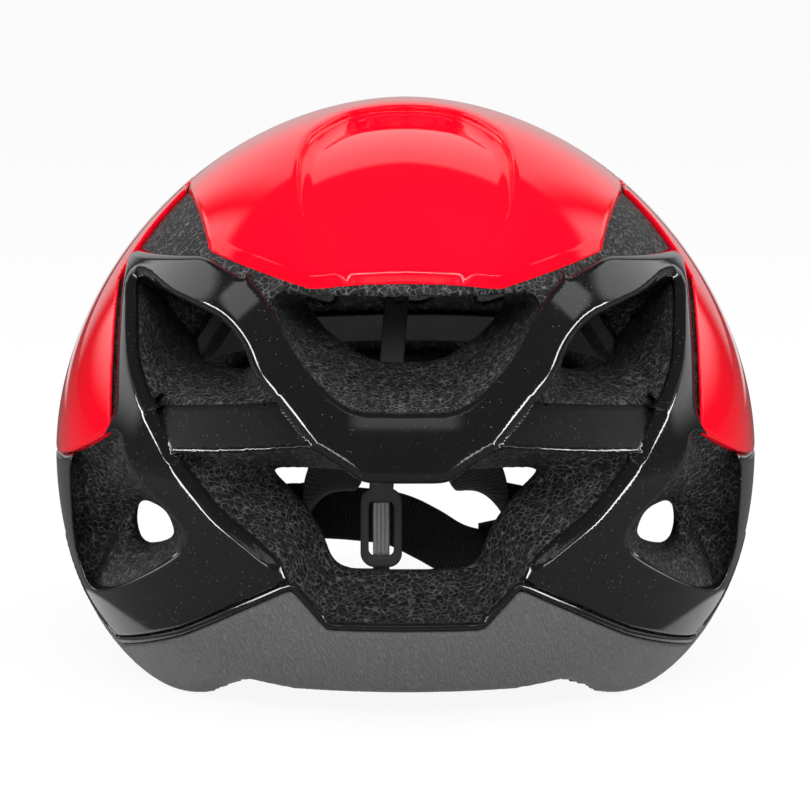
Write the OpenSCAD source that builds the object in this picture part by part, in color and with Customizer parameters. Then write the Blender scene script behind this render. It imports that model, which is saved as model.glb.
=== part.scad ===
// Cycling helmet: foam liner, moulded shells, fit system with a dial, and chin straps.
// Frame: +X is the rider's right, +Y is forward, +Z is up. The origin is the centre of the
// head at the headband. All sizes are in millimetres.

/* [Shell] */
// Half of the shell's width
half_w = 107; // [102:0.5:112]
// Length of the shell behind the origin
rear_len = 140; // [134:1:150]
// Length of the shell ahead of the origin
front_len = 142; // [136:1:152]
// Height of the crown above the belt line
crown_h = 105; // [102:0.5:112]
// Depth of the shell's full form below the belt line, before the rim is cut
lower_h = 112; // [106:0.5:118]
// Height of the belt line, where the shell is widest
belt_z = 4; // [0:0.5:8]
// Thickness of the moulded shells
shell_t = 1.6; // [1:0.1:2.4]
// Bond line between a shell and the foam
bond_gap = 0.2; // [0.1:0.05:0.4]
// Seam between two neighbouring shells
seam_gap = 0.8; // [0.4:0.1:1.5]
// How far the floor of the crown's arch sinks straight down
arch_drop = 5.5; // [3:0.5:7]
// How far the floor of the crown's arch moves back, so that it meets the tail
arch_back = 4.5; // [2:0.5:6]

/* [Head space] */
// Half of the width of the head space in the foam
head_half_w = 78; // [74:0.5:82]
// Length of the head space ahead of the origin
head_front = 104; // [98:0.5:108]
// Length of the head space behind the origin
head_rear = 102; // [97:0.5:106]
// Height of the head space above the origin
head_top = 84; // [80:0.5:88]
// Thickness of the comfort pads
pad_t = 5; // [3:0.5:7]
// Clearance between a lining piece and the foam
lining_gap = 0.3; // [0.2:0.05:0.6]

/* [Rear vents] */
// Half of the width of the flat at the foot of the V
v_flat = 15.5; // [12:0.5:18]
// Height of the flat at the foot of the V's opening
v_floor = 31; // [28:0.5:34]
// Height of the lower edge of the V's moulding
v_foot = 11.5; // [9:0.5:14]
// Half of the width of the notch under the lower vent
notch_half = 22; // [18:0.5:26]
// Height of the floor of the lower vent
notch_floor = -31; // [-34:0.5:-28]

/* [Fit system] */
// Width of the rear arm at its top
arm_w = 7; // [5:0.5:9]
// Width of the rear arm's lower tab
tab_w = 12; // [10:0.5:14]
// Sideways place of the arm's top
arm_top_x = -1.7; // [-4:0.1:2]
// Sideways place of the arm's tab
tab_x = -7; // [-9:0.1:-2]
// Thickness of the arm, the headband, the yoke and the paddles
strip_t = 2; // [1.4:0.1:2.6]
// Gap between the foam and the yoke
yoke_gap = 10; // [8:0.5:12]
// Radius of the adjuster dial
dial_r = 13; // [11:0.5:14]
// Thickness of the adjuster dial
dial_t = 4.6; // [3.5:0.1:5.2]
// Radius of the dial's shaft
shaft_r = 2.5; // [2:0.1:3]
// Running clearance of a shaft or pin in its bore
run_gap = 0.05; // [0.02:0.01:0.1]
// Module of the pinion and the racks
gear_module = 1; // [0.9:0.05:1.1]
// Teeth on the pinion
pinion_teeth = 10; // [9:1:12]
// Radius of a temple pin
pin_r = 2.5; // [2:0.1:3]

/* [Straps] */
// Width of the webbing
strap_w = 16; // [14:0.5:18]
// Thickness of the webbing
strap_t = 1.6; // [1.2:0.1:2]
// Length of a strap divider
divider_l = 22; // [20:0.5:26]
// Height of a strap divider
divider_h = 20; // [19:0.5:22]
// Thickness of a strap divider
divider_t = 8; // [7:0.5:9]
// Radius of a lever's pin
lever_pin_r = 1; // [0.8:0.1:1.2]
// Length of the buckle
buckle_l = 26; // [24:0.5:30]

/* [Hidden] */
$fn = 48;

// Longer than any cut through the helmet
far = 200;
// Rings along the shell's length, and points round each ring
shell_rings = 26;
shell_points = 52;
// Rings up the head space, and points round each ring
head_rings = 9;
head_points = 36;
// Power that rounds the shell's two ends: a lower value is blunter
end_power = 0.8;
// Power of the crown's cross section: 2 is an ellipse, and less is flatter at its shoulders
crown_power = 1.9;
// Power of the head space's plan outline
plan_power = 2.2;
// Depth of the head space below the origin
head_depth = 90;

// Smooth curve through points
function blend4(a, b, c, d, t) = 0.5 * (2 * b + (c - a) * t + (2 * a - 5 * b + 4 * c - d) * t * t
  + (3 * b - a - 3 * c + d) * t * t * t);
function smooth(p, n = 2) = [for (i = [0:len(p) - 2]) for (k = [0:n - 1])
  blend4(p[max(i - 1, 0)], p[i], p[i + 1], p[min(i + 2, len(p) - 1)], k / n), p[len(p) - 1]];
function mirrored(p) = [for (i = [len(p) - 1:-1:0]) [-p[i][0], p[i][1]]];
function both_sides(p) = concat(p, mirrored(p));

// Closed skin over rings of n points that run counter-clockwise, seen from the first ring's end
function ring_faces(rings, n) = concat([[for (k = [n - 1:-1:0]) k]],
  [for (r = [0:rings - 2]) for (k = [0:n - 1]) each
    [[r * n + k, r * n + (k + 1) % n, (r + 1) * n + k],
     [r * n + (k + 1) % n, (r + 1) * n + (k + 1) % n, (r + 1) * n + k]]],
  [[for (k = [0:n - 1]) (rings - 1) * n + k]]);

// Gathers freeform cuts into one surface, with no change of size
module freeform() { resize([0, 0, 0]) children(); }

// Shell form: elliptic rings along its length, set in by depth
function ring_y(t, depth) = t < 90 ? -(rear_len - depth) * pow(cos(t), end_power)
  : (front_len - depth) * pow(abs(cos(t)), end_power);
function bow(v, power) = sign(v) * pow(abs(v), 2 / power);
function body_point(t, a, depth) = let (above = sin(a) >= 0, power = above ? crown_power : 2)
  [(half_w - depth) * sin(t) * bow(cos(a), power), ring_y(t, depth),
   belt_z + ((above ? crown_h : lower_h) - depth) * sin(t) * bow(sin(a), power)];
module body(depth) {
  first = 3;
  polyhedron([for (r = [0:shell_rings - 1]) for (k = [0:shell_points - 1])
    body_point(first + r * (180 - 2 * first) / (shell_rings - 1), k * 360 / shell_points, depth)],
    ring_faces(shell_rings, shell_points), convexity = 6);
}
module skin(outer = 0) { difference() { body(outer); body(outer + shell_t); } }

// Head form: oval rings up to the crown, straight below the origin, set in by depth
function oval(a, depth) = let (c = cos(a), s = sin(a), p = 2 / plan_power)
  [(head_half_w - depth) * sign(c) * pow(abs(c), p),
   (s < 0 ? head_rear - depth : head_front - depth) * sign(s) * pow(abs(s), p)];
module head_form(depth) {
  top = head_top - depth;
  polyhedron([for (r = [0:head_rings]) for (k = [0:head_points - 1])
    let (up = (r - 1) * 87 / (head_rings - 1), o = oval(-k * 360 / head_points, depth))
    r == 0 ? [o[0], o[1], -head_depth] : [o[0] * cos(up), o[1] * cos(up), top * sin(up)]],
    ring_faces(head_rings + 1, head_points), convexity = 6);
}
module lining(depth, thickness) { difference() { head_form(depth); head_form(depth + thickness); } }
function head_y(x, depth) = -(head_rear - depth)
  * pow(1 - pow(abs(x) / (head_half_w - depth), plan_power), 1 / plan_power);

// Prisms cut along the length, across the width and straight up
module along_y(from, to) { translate([0, to, 0]) rotate([90, 0, 0]) linear_extrude(to - from) children(); }
module along_x() { rotate([90, 0, 90]) translate([0, 0, -far]) linear_extrude(2 * far) children(); }
module along_z() { translate([0, 0, -far]) linear_extrude(2 * far) children(); }
// Outlines of the shell are drawn for this half width and follow the real one
drawn_half_w = 107;
module to_width() { scale([half_w / drawn_half_w, 1, 1]) children(); }
module mirror_pair() { children(); mirror([1, 0, 0]) children(); }

// Rim, in side view: the line where the foam and the band end below
rim_line = smooth([[-far, -50.5], [-125, -50.5], [-119, -50.5], [-112, -49], [-104, -52], [-92, -57],
  [-78, -56], [-60, -47], [-40, -32], [-20, -16], [0, -8.5], [40, -7], [80, -9.5], [110, -11], [far, -10]]);
rim_rear = [[0, -50.5], [32, -50.5], [40, -49.9], [48, -49], [56, -52], [64, -57], [72, -57.5]];
module below_rim() { along_x() polygon(concat(rim_line, [[far, -far], [-far, -far]])); }
// The foam ends no lower than the band in front of it, seen from behind
module below_rear_rim() {
  to_width() along_y(-far, 0) polygon(both_sides(concat(rim_rear, [[72, -far], [0, -far]])));
}

// Upper edge of the rim band: seen from behind, and along the sides
band_rear = [[notch_half + 10, -19.5], [38, -22.5], [48, -28], [64, -37.5], [84, -47]];
band_side = smooth([[-69, -47], [-50, -37], [-30, -22], [-10, -6], [10, 0], [40, 1], [80, -1], [far, -2]]);
split_y = band_side[0][0];
module band_zone(lift) {
  to_width() along_y(-far, split_y) offset(delta = lift)
    polygon(both_sides(concat([[0, -far], [far, -far], [far, -47]], [for (i = [len(band_rear) - 1:-1:0])
      band_rear[i]], [[notch_half, notch_floor], [0, notch_floor]])));
  intersection() {
    along_x() offset(delta = lift) polygon(concat([[-far, -far], [-far, -47]], band_side, [[far, -far]]));
    translate([-far, split_y, -far]) cube(2 * far);
  }
}

// Lower edge of the crown's tail, from behind, and its side edge, from above
tail_edge = [[0, 65], [26, 63.3], [35, 63.6], [44, 66], [58, 71.5]];
crown_side = smooth([[57, -100], [61, -78], [65, -35], [66, 0], [62, 50], [54, 90], [44, 125], [38, far]]);
module crown_zone(grow) {
  difference() {
    to_width() along_z() offset(delta = grow) polygon(both_sides(concat([[0, -far], [57, -far]], crown_side)));
    to_width() along_y(-far, 0) offset(delta = -grow) polygon(both_sides(concat([[0, -far], [far, -far],
      [far, 71.5]], [for (i = [len(tail_edge) - 1:-1:0]) tail_edge[i]])));
  }
}

// Sunken arch in the crown, from behind
arch_line = smooth([[16, 60], [19.6, 68.2], [28.7, 79.6], [30.4, 86.3], [30.4, 94.1], [29.3, 98.3],
  [25.8, 102.9], [17.8, 106.8], [8.8, 108.1], [0, 108.6]]);
module arch_zone(grow) { to_width() along_y(-far, grow) offset(delta = grow) polygon(both_sides(arch_line)); }
module arch_floor(depth) { translate([0, -arch_back, -arch_drop]) body(depth); }
// Shell form with the arch cut into it
module arched_body(depth) {
  difference() {
    body(depth);
    difference() { arch_zone(depth); arch_floor(depth); }
  }
}

// Side shell: its outline from above, and its lower edge from the side
side_front = 66;
post_x = 84.5;
window_tip = -15;
window_rear = -41;
side_low = smooth([[-95, 26.5], [-86, 17.4], [-68, 10], [-45, 5.5], [-20, 4], [5, 3], [25, 2.2], [60, 1.5],
  [far, -1]]);
side_plan = concat([for (p = crown_side) if (p[1] > window_tip) p], [[far, far], [far, -95],
  [post_x, -95], [post_x, window_rear], [side_front, window_tip]]);
module side_zone(sign_x, grow = 0) {
  difference() {
    to_width() along_z() offset(delta = grow - seam_gap) polygon([for (p = side_plan) [sign_x * p[0], p[1]]]);
    along_x() offset(delta = seam_gap - grow)
      polygon(concat([[-far, -far], [-far, 26.5]], side_low, [[far, -far]]));
    band_zone(seam_gap);
  }
}

// Rear openings, each as its outline at the shell, half of it for those on the centre line
v_mouth = [[0, v_floor], [v_flat, v_floor], [27, 40.5], [34, 50], [39.5, 61]];
v_throat = [[0, 40], [10, 40], [21, 46.5], [26, 51], [31, 58]];
low_mouth = [[0, notch_floor], [notch_half, notch_floor], [33, -18], [35.2, -11.5], [42.8, -5.3],
  [52.8, 2.2], [65, 16.5], [26.5, 21], [16, 14.5], [12, v_foot], [0, v_foot]];
low_throat = [[0, -18.5], [18, -18.5], [21.6, -15], [23.5, -9], [27, -3], [31, 2],
  [40, 10], [30, 11], [16, 11], [10, 11], [0, 11]];
side_mouth = [[79.5, 61], [63, 57.3], [52.3, 54], [46, 47.5], [43, 39.5], [36.8, 33.5], [39, 31.8],
  [71.7, 27.7], [77, 39]];
side_throat = [[63, 57], [56, 55], [48, 52], [44, 48], [43.5, 43], [44.5, 37], [47, 35.5], [62, 35.5],
  [64, 44]];
pod_mouth = [[82.5, 20.5], [81.8, 14.3], [78.4, 8.7], [71.4, 2.4], [64.6, -3], [62.6, -7], [63.5, -11.2],
  [69, -16], [80.5, -24.5], [88, -29.5], [94, -32], [98, -21], [99, 5.7], [97, 10], [89, 17.2]];
pod_throat = [[76.5, 0], [75, 0], [73, -1], [71, -2], [69, -4], [68, -6], [67, -9],
  [67, -11], [70, -12.5], [73, -13], [75, -13], [77, -11], [78, -7], [78, -4], [77.5, -1]];
throat_y = -92;
// Line of sight through a pod's throat: sideways and downward run for each millimetre forward
pod_run = [0.056, -0.167];
pod_exit_y = 5;
pod_exit = [for (p = pod_throat) p + pod_run * (pod_exit_y - throat_y)];

pod_neck_y = -71;
pod_neck = [for (p = pod_throat) p + pod_run * (pod_neck_y - throat_y)];

// Shell's rear face behind a point of an outline
function rear_face(p) = let (above = p[1] > belt_z, n = above ? crown_power : 2,
    share = pow(abs(p[0]) / drawn_half_w, n) + pow(abs(p[1] - belt_z) / (above ? crown_h : lower_h), n))
  -rear_len * pow(max(0.02, 1 - pow(share, 2 / n)), end_power / 2);

// Opening through the foam: it keeps its mouth's outline as far as a lip below the shell, narrows to its
// throat at the given depth and goes on to its end
lip_depth = 2;
module funnel(mouth, throat, depth, end, end_y) {
  outer = [for (p = mouth) [p[0], -rear_len - 5, p[1]]];
  lip = [for (p = mouth) [p[0], rear_face(p) + lip_depth, p[1]]];
  neck = [for (p = throat) [p[0], min(rear_face(p) + depth, end_y - 1), p[1]]];
  inner = [for (p = end) [p[0], end_y, p[1]]];
  polyhedron(concat(outer, lip, neck, inner), ring_faces(4, len(mouth)), convexity = 8);
}
module rear_openings_foam() to_width() {
  funnel(both_sides(v_mouth), both_sides(v_throat), 40, both_sides(v_throat), -40);
  funnel(both_sides(low_mouth), both_sides(low_throat), 40, both_sides(low_throat), -60);
  mirror_pair() {
    funnel(side_mouth, side_throat, 51, side_throat, -40);
    funnel(pod_mouth, pod_neck, 34, pod_exit, pod_exit_y);
  }
}
module rear_openings_shell() {
  to_width() along_y(-far, 0) {
    polygon(both_sides(concat(v_mouth, [[46, 66], [46, 80], [0, 80]])));
    polygon(both_sides(low_mouth));
    for (s = [1, -1]) {
      polygon([for (p = side_mouth) [s * p[0], p[1]]]);
      polygon([for (p = pod_mouth) [s * p[0], p[1]]]);
    }
  }
}

// Front intakes and a slot in each side
front_centre = [[0, 35], [8, 35], [11, 43], [12, 56], [9, 61], [0, 61]];
front_outer = [[23, 34], [37, 39], [43, 52], [38, 58], [24, 57], [21, 45]];
intake_y = 30;
intake_r = 2;
module front_intakes(grow) {
  along_y(intake_y, far) offset(r = intake_r, $fn = 16) offset(delta = grow - intake_r) {
    polygon(both_sides(front_centre));
    for (s = [1, -1]) polygon([for (p = front_outer) [s * p[0], p[1]]]);
  }
}
slot_r = 5;
module side_slots(grow) {
  along_x() hull() {
    translate([22, 30]) circle(slot_r + grow, $fn = 16);
    translate([66, 38]) circle(slot_r - 2 + grow, $fn = 16);
  }
}

module eps_liner() color([0.09, 0.09, 0.09]) freeform() difference() {
  arched_body(shell_t + bond_gap);
  head_form(0);
  below_rim();
  below_rear_rim();
  rear_openings_foam();
  front_intakes(-1);
  side_slots(-1);
  at_rivet() rivet_hole();
}

module crown_shell() color([0.85, 0.02, 0.02]) freeform() difference() {
  intersection() {
    difference() { arched_body(0); arched_body(shell_t); }
    crown_zone(0);
  }
  band_zone(seam_gap);
  front_intakes(0);
}

module side_shell(sign_x) color([0.85, 0.02, 0.02]) freeform() difference() {
  intersection() { skin(); side_zone(sign_x); }
  side_slots(0);
  front_intakes(0);
}
module side_shell_left() side_shell(-1);
module side_shell_right() side_shell(1);

// Rear frame: everything between the crown's tail, the side shells and the rim band
frame_edge = [[0, 80], [46, 80], [46, 65.2], [58, 70.4], [post_x, 66.5], [post_x, 26], [89, 17],
  [97.5, 9.7], [106, 4.6], [far, 3.5], [far, -far], [0, -far]];
frame_side = [[-far, 100], [-20, 100], [-20, 3.8], [8, 2], [-10, -20], [-far, -120]];
module rear_frame() color([0.02, 0.02, 0.02]) freeform() difference() {
  intersection() {
    skin();
    to_width() along_y(-far, far) offset(delta = -seam_gap / 2) polygon(both_sides(frame_edge));
    along_x() polygon(frame_side);
  }
  rear_openings_shell();
  crown_zone(seam_gap);
  for (s = [-1, 1]) side_zone(s, seam_gap / 2);
  trim_zone(seam_gap / 4);
}

trim_h = 2;
trim_end = -30;
module trim_zone(grow) { band_zone(trim_h + grow); }
module seam_trim() color([0.03, 0.03, 0.03]) freeform() difference() {
  intersection() {
    skin();
    trim_zone(0);
    translate([-far, -far, -far]) cube([2 * far, far + trim_end, 2 * far]);
  }
  band_zone(seam_gap / 4);
  below_rim();
}

module rim_band() color([0.2, 0.2, 0.21]) freeform() difference() {
  intersection() { skin(); band_zone(0); }
  below_rim();
}

// Fit system
arm_top_z = 70;
tab_top = 4;
tab_low = -18;
slot_w = tab_w - 4.8;
slot_low = -15;
slot_top = 0.7;
rivet_z = 64;
rivet_r = 1.5;
eyelet_z = 55;
eyelet_r = 1.2;
fit_gap = 0.15;
module arm_outline() {
  hull() {
    translate([arm_top_x, arm_top_z - arm_w / 2]) circle(arm_w / 2, $fn = 20);
    translate([tab_x, tab_top]) square([arm_w, 1], center = true);
  }
  hull() {
    translate([tab_x, tab_top - 1]) square([tab_w - 2, 4], center = true);
    translate([tab_x, tab_low + tab_w / 2]) circle(tab_w / 2, $fn = 24);
  }
}
module rear_arm() color([0.12, 0.12, 0.12]) freeform() difference() {
  intersection() {
    lining(lining_gap, strip_t);
    along_y(-far, 0) difference() {
      arm_outline();
      translate([tab_x - slot_w / 2, slot_low]) square([slot_w, slot_top - slot_low]);
    }
  }
  along_y(-far, 0) translate([arm_top_x, eyelet_z]) circle(eyelet_r, $fn = 16);
  at_rivet() rivet_hole();
}
// The rivet stands square to the foam
rivet_y = -head_rear * sqrt(1 - pow(rivet_z / head_top, 2));
rivet_tilt = atan2(-rivet_y / pow(head_rear, 2), rivet_z / pow(head_top, 2));
rivet_in = 4.3;
rivet_out = 6;
module at_rivet() { translate([arm_top_x, rivet_y, rivet_z]) rotate([rivet_tilt, 0, 0]) children(); }
module rivet_hole() {
  translate([0, 0, -rivet_in]) cylinder(r = rivet_r + fit_gap, h = rivet_in + rivet_out + 0.3, $fn = 20);
}
module arm_rivet() color([0.2, 0.2, 0.2]) at_rivet() translate([0, 0, -rivet_in]) {
  cylinder(r = rivet_r, h = rivet_in + rivet_out);
  cylinder(r = rivet_r * 2, h = 1.2);
}

// Temple pins carry the yoke's eyes, and the cradle swings on them
temple_y = 32;
temple_z = 8;
pin_len = 13;
plate_t = 2;
pin_root = 1.6;
eye_r = pin_r + 3;
temple_wall = head_half_w * pow(1 - pow(temple_y / head_front, plan_power), 1 / plan_power);
module at_temple() {
  mirror_pair() translate([temple_wall, temple_y, temple_z]) rotate([0, -90, 0]) children();
}
module temple_plates() color([0.15, 0.15, 0.15]) freeform() intersection() {
  lining(lining_gap, plate_t);
  along_x() translate([temple_y, temple_z]) difference() {
    circle(eye_r + 1, $fn = 24);
    circle(pin_r + fit_gap, $fn = 24);
  }
}
module temple_pins() color([0.35, 0.35, 0.36]) at_temple() translate([0, 0, pin_root]) {
  cylinder(r = pin_r, h = pin_len);
  translate([0, 0, pin_len]) cylinder(r = pin_r + 1.4, h = 1.2);
}

headband_low = 22;
headband_top = 32;
module headband() color([0.12, 0.12, 0.12]) freeform() intersection() {
  lining(lining_gap, strip_t);
  translate([-far, 20, headband_low]) cube([2 * far, far, headband_top - headband_low]);
}

// Comfort pads lie on hook dots
dot_t = 1;
dot_r = 8;
side_pad_at = [-14, 44];
pad_depth = lining_gap + dot_t;
brow_half = 54;
brow_y = 40;
brow_low = -6;
brow_h = 24;
crown_pad_size = [16, 84];
side_pad_size = [56, 10];
pad_round = 8;
module brow_pad() color([0.06, 0.06, 0.06]) freeform() intersection() {
  lining(pad_depth, pad_t);
  translate([-brow_half, brow_y, brow_low]) cube([2 * brow_half, far, brow_h]);
}
module crown_pad() color([0.06, 0.06, 0.06]) freeform() intersection() {
  lining(pad_depth, pad_t);
  along_z() offset(r = pad_round, $fn = 12) square(crown_pad_size, center = true);
  translate([-far, -far, 30]) cube(2 * far);
}
module side_pad(sign_x) color([0.06, 0.06, 0.06]) freeform() intersection() {
  lining(pad_depth, pad_t);
  along_x() translate(side_pad_at) offset(r = pad_round - 2, $fn = 12) square(side_pad_size, center = true);
  translate([sign_x > 0 ? 0 : -far, -far, -far]) cube([far, 2 * far, 2 * far]);
}
module side_pad_left() side_pad(-1);
module side_pad_right() side_pad(1);
module pad_dots() color([0.1, 0.1, 0.1]) freeform() intersection() {
  lining(lining_gap, dot_t);
  union() {
    along_y(40, far) for (x = [-36, 36]) translate([x, 6]) circle(dot_r, $fn = 8);
    along_z() for (y = [-34, 34]) translate([0, y]) circle(dot_r, $fn = 8);
    along_x() for (y = [-18, 18]) translate(side_pad_at + [y, 0]) circle(dot_r - 2, $fn = 8);
  }
}

// Cradle: a tray with the shaft's bore, a cover, and a ribbed tongue behind the arm's slot
cradle_half = 24;
cradle_low = -52;
cradle_top = -23;
cradle_rear = -95;
cover_y = -86;
wall_t = 2;
dial_z = -38;
screw_r = 1.1;
screw_x = cradle_half - 6.5;
screw_at = [for (x = [-screw_x, screw_x]) for (z = [cradle_low + 3.1, cradle_top - 3.5]) [x, z]];
boss_r = 1.9;
rib_count = 4;
rib_h = 15;
tongue_w = slot_w - 2.4;
tongue_front = -96.4;
tongue_rear = -98.2;
rib_tip = 0.6;
pitch_r = gear_module * pinion_teeth / 2;
rack_add = 0.8 * gear_module;
rack_ded = 1.15 * gear_module;
rack_bar = 2.3;
rack_gap = 0.4;
rack_front = -88.6;
rack_rear = -92.4;
rack_end = 36;
rack_tail = 9;
tab_t = 3;
module rack_window(turn) {
  translate([0, 0, dial_z]) rotate([0, turn, 0])
    translate([-far / 2, rack_rear - rack_gap, pitch_r - rack_add - rack_gap])
    cube([far / 2, rack_front - rack_rear + 2 * rack_gap, rack_add + rack_ded + rack_bar + 2 * rack_gap]);
}
module cradle_base() color([0.1, 0.1, 0.1]) difference() {
  union() {
    difference() {
      translate([-cradle_half, cradle_rear, cradle_low])
        cube([2 * cradle_half, cover_y - cradle_rear, cradle_top - cradle_low]);
      translate([wall_t - cradle_half, cradle_rear + wall_t, cradle_low + wall_t])
        cube([2 * (cradle_half - wall_t), far, cradle_top - cradle_low - 2 * wall_t]);
    }
    for (s = screw_at) translate([s[0], cover_y, s[1]]) rotate([90, 0, 0])
      cylinder(r = boss_r, h = cover_y - cradle_rear - 1);
    translate([tab_x - tongue_w / 2, tongue_rear, cradle_top - wall_t])
      cube([tongue_w, cradle_rear + wall_t - tongue_rear, wall_t]);
    translate([tab_x - tongue_w / 2, tongue_rear, cradle_top - wall_t])
      cube([tongue_w, tongue_front - tongue_rear, wall_t - cradle_top]);
    for (k = [0:rib_count - 1]) translate([tab_x - tongue_w / 2 + (k + 0.25) * tongue_w / rib_count,
      tongue_rear - rib_tip, -rib_h]) cube([tongue_w / rib_count / 2, rib_tip + 0.1, rib_h]);
  }
  translate([0, cradle_rear + wall_t + 1, dial_z]) rotate([90, 0, 0])
    cylinder(r = shaft_r + run_gap, h = wall_t + 2);
  for (s = screw_at) translate([s[0], cover_y + 1, s[1]]) rotate([90, 0, 0])
    cylinder(r = screw_r + run_gap, h = 7);
  rack_window(0);
  rack_window(180);
}
module cradle_cover() color([0.12, 0.12, 0.12]) difference() {
  translate([-cradle_half, cover_y, cradle_low]) cube([2 * cradle_half, wall_t, cradle_top - cradle_low]);
  for (s = screw_at) translate([s[0], cover_y + wall_t + 1, s[1]]) rotate([90, 0, 0])
    cylinder(r = screw_r + run_gap, h = wall_t + 2);
}
module cover_screws() color([0.5, 0.5, 0.52]) for (s = screw_at) translate([s[0], cover_y + wall_t, s[1]])
  rotate([90, 0, 0]) difference() {
    union() {
      cylinder(r = screw_r, h = 6.5);
      translate([0, 0, -1.2]) cylinder(r = boss_r, h = 1.2);
    }
    translate([-1.2, -0.25, -1.3]) cube([2.4, 0.5, 0.7]);
  }

// Yoke arms run from the cradle to the temple pins
yoke_top = smooth([[temple_y, temple_z + 6], [10, 6], [-30, -9], [-60, -18], [-100, -22.5]]);
yoke_low = smooth([[-100, -29], [-60, -26], [-30, -18], [10, -5], [temple_y, temple_z - 6]]);
module yoke_outline() {
  polygon(concat(yoke_top, yoke_low));
  translate([temple_y, temple_z]) circle(eye_r + 0.6, $fn = 16);
}
module right_of(x) { translate([x, -far, -far]) cube(2 * far); }
module yoke_arm() {
  intersection() {
    lining(yoke_gap, strip_t);
    along_x() difference() {
      yoke_outline();
      translate([temple_y, temple_z]) circle(pin_r + 0.4, $fn = 16);
    }
    right_of(cradle_half);
  }
  translate([cradle_half, -92, -29]) cube([3, 9, 6]);
}
module yoke_arm_left() color([0.1, 0.1, 0.1]) freeform() mirror([1, 0, 0]) yoke_arm();
module yoke_arm_right() color([0.1, 0.1, 0.1]) freeform() yoke_arm();

// Dial, its grip, and the shaft with the pinion
grip_t = 2;
grip_notches = 20;
dial_y = cradle_rear - 0.4;
module at_dial(y) { translate([0, y, dial_z]) rotate([90, 0, 0]) children(); }
module adjuster_dial() color([0.08, 0.08, 0.08]) at_dial(dial_y) difference() {
  cylinder(r = dial_r - grip_t, h = dial_t);
  translate([0, 0, -1]) cylinder(r = shaft_r + run_gap, h = dial_t - 0.4);
}
module dial_grip() color([0.05, 0.05, 0.05]) at_dial(dial_y) difference() {
  cylinder(r = dial_r, h = dial_t);
  translate([0, 0, -1]) cylinder(r = dial_r - grip_t + run_gap, h = dial_t + 2);
  for (k = [1:grip_notches]) rotate(k * 360 / grip_notches) translate([dial_r + 0.4, 0, -1])
    cylinder(r = 1, h = dial_t + 2, $fn = 20);
}
// Involute tooth flanks: the half angle of a tooth at radius r
pressure = 25;
backlash = 0.3;
function inv(a) = tan(a) * 180 / PI - a;
base_r = pitch_r * cos(pressure);
root_r = pitch_r - rack_ded * 0.95;
tip_r = pitch_r + rack_add * 0.9;
function half_tooth(r) = 90 / pinion_teeth - backlash * 90 / PI / pitch_r + inv(pressure)
  - inv(acos(min(1, base_r / r)));
tooth_r = [root_r, base_r, (base_r + pitch_r) / 2, pitch_r, (pitch_r + tip_r) / 2, tip_r];
function flank(c, side, r) = let (a = c + side * half_tooth(max(r, base_r))) r * [cos(a), sin(a)];
module pinion_outline() polygon([for (k = [0:pinion_teeth - 1]) let (c = 90 + (k + 0.5) * 360 / pinion_teeth)
  each concat([for (r = tooth_r) flank(c, -1, r)],
    [for (i = [len(tooth_r) - 1:-1:0]) flank(c, 1, tooth_r[i])])]);
module dial_shaft() color([0.6, 0.6, 0.62]) {
  at_dial(cover_y - 0.6) cylinder(r = shaft_r, h = cover_y - 0.6 - dial_y + dial_t - 1.6);
  at_dial(rack_front) linear_extrude(rack_front - rack_rear) pinion_outline();
}

// Racks: a toothed bar over the pinion and another under it, each with a tab for its paddle
rack_pitch = PI * gear_module;
tooth_half = rack_pitch / 4 - backlash / 2;
module rack_outline() {
  translate([-rack_end, pitch_r + rack_ded]) square([rack_end + rack_tail, rack_bar]);
  foot = tooth_half + rack_ded * tan(pressure);
  tip = tooth_half - rack_add * tan(pressure);
  for (k = [-4:2]) translate([k * rack_pitch, pitch_r])
    polygon([[-foot, rack_ded + 0.01], [-tip, -rack_add], [tip, -rack_add], [foot, rack_ded + 0.01]]);
}
paddle_x = rack_end + 0.2;
tab_front = head_y(paddle_x, yoke_gap + strip_t);
module rack(turn) color([0.75, 0.75, 0.72]) translate([0, 0, dial_z]) rotate([0, turn, 0]) {
  translate([0, rack_front, 0]) rotate([90, 0, 0]) linear_extrude(rack_front - rack_rear) rack_outline();
  translate([-rack_end, rack_rear, pitch_r + rack_ded]) cube([tab_t, tab_front - rack_rear, rack_bar]);
}
module rack_left() rack(0);
module rack_right() rack(180);

// Paddles close on the nape as the dial turns
paddle_w = 16;
paddle_low = -48;
paddle_top = -30.2;
module paddle_zone(sign_x, inset) {
  along_y(-far, 0) offset(r = 4, $fn = 12) offset(delta = -4 - inset)
    translate([sign_x > 0 ? paddle_x : -paddle_x - paddle_w, paddle_low])
    square([paddle_w, paddle_top - paddle_low]);
}
module paddle(sign_x) color([0.1, 0.1, 0.1]) freeform() intersection() {
  lining(yoke_gap, strip_t);
  along_y(-far, 0) translate([sign_x > 0 ? paddle_x : -paddle_x - paddle_w, paddle_low])
    square([paddle_w, paddle_top - paddle_low]);
}
module paddle_left() paddle(-1);
module paddle_right() paddle(1);
nape_t = 4;
module nape_pad(sign_x) color([0.06, 0.06, 0.06]) freeform() intersection() {
  lining(yoke_gap + strip_t + 0.2, nape_t);
  paddle_zone(sign_x, 0.6);
}
module nape_pad_left() nape_pad(-1);
module nape_pad_right() nape_pad(1);

// Webbing: a flat band swept along a route, its width turning from one direction to another
function unit(v) = v / norm(v);
function route_dir(p, i) = unit(p[min(i + 1, len(p) - 1)] - p[max(i - 1, 0)]);
function across(d, v) = unit(v - (v * d) * d);
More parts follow.
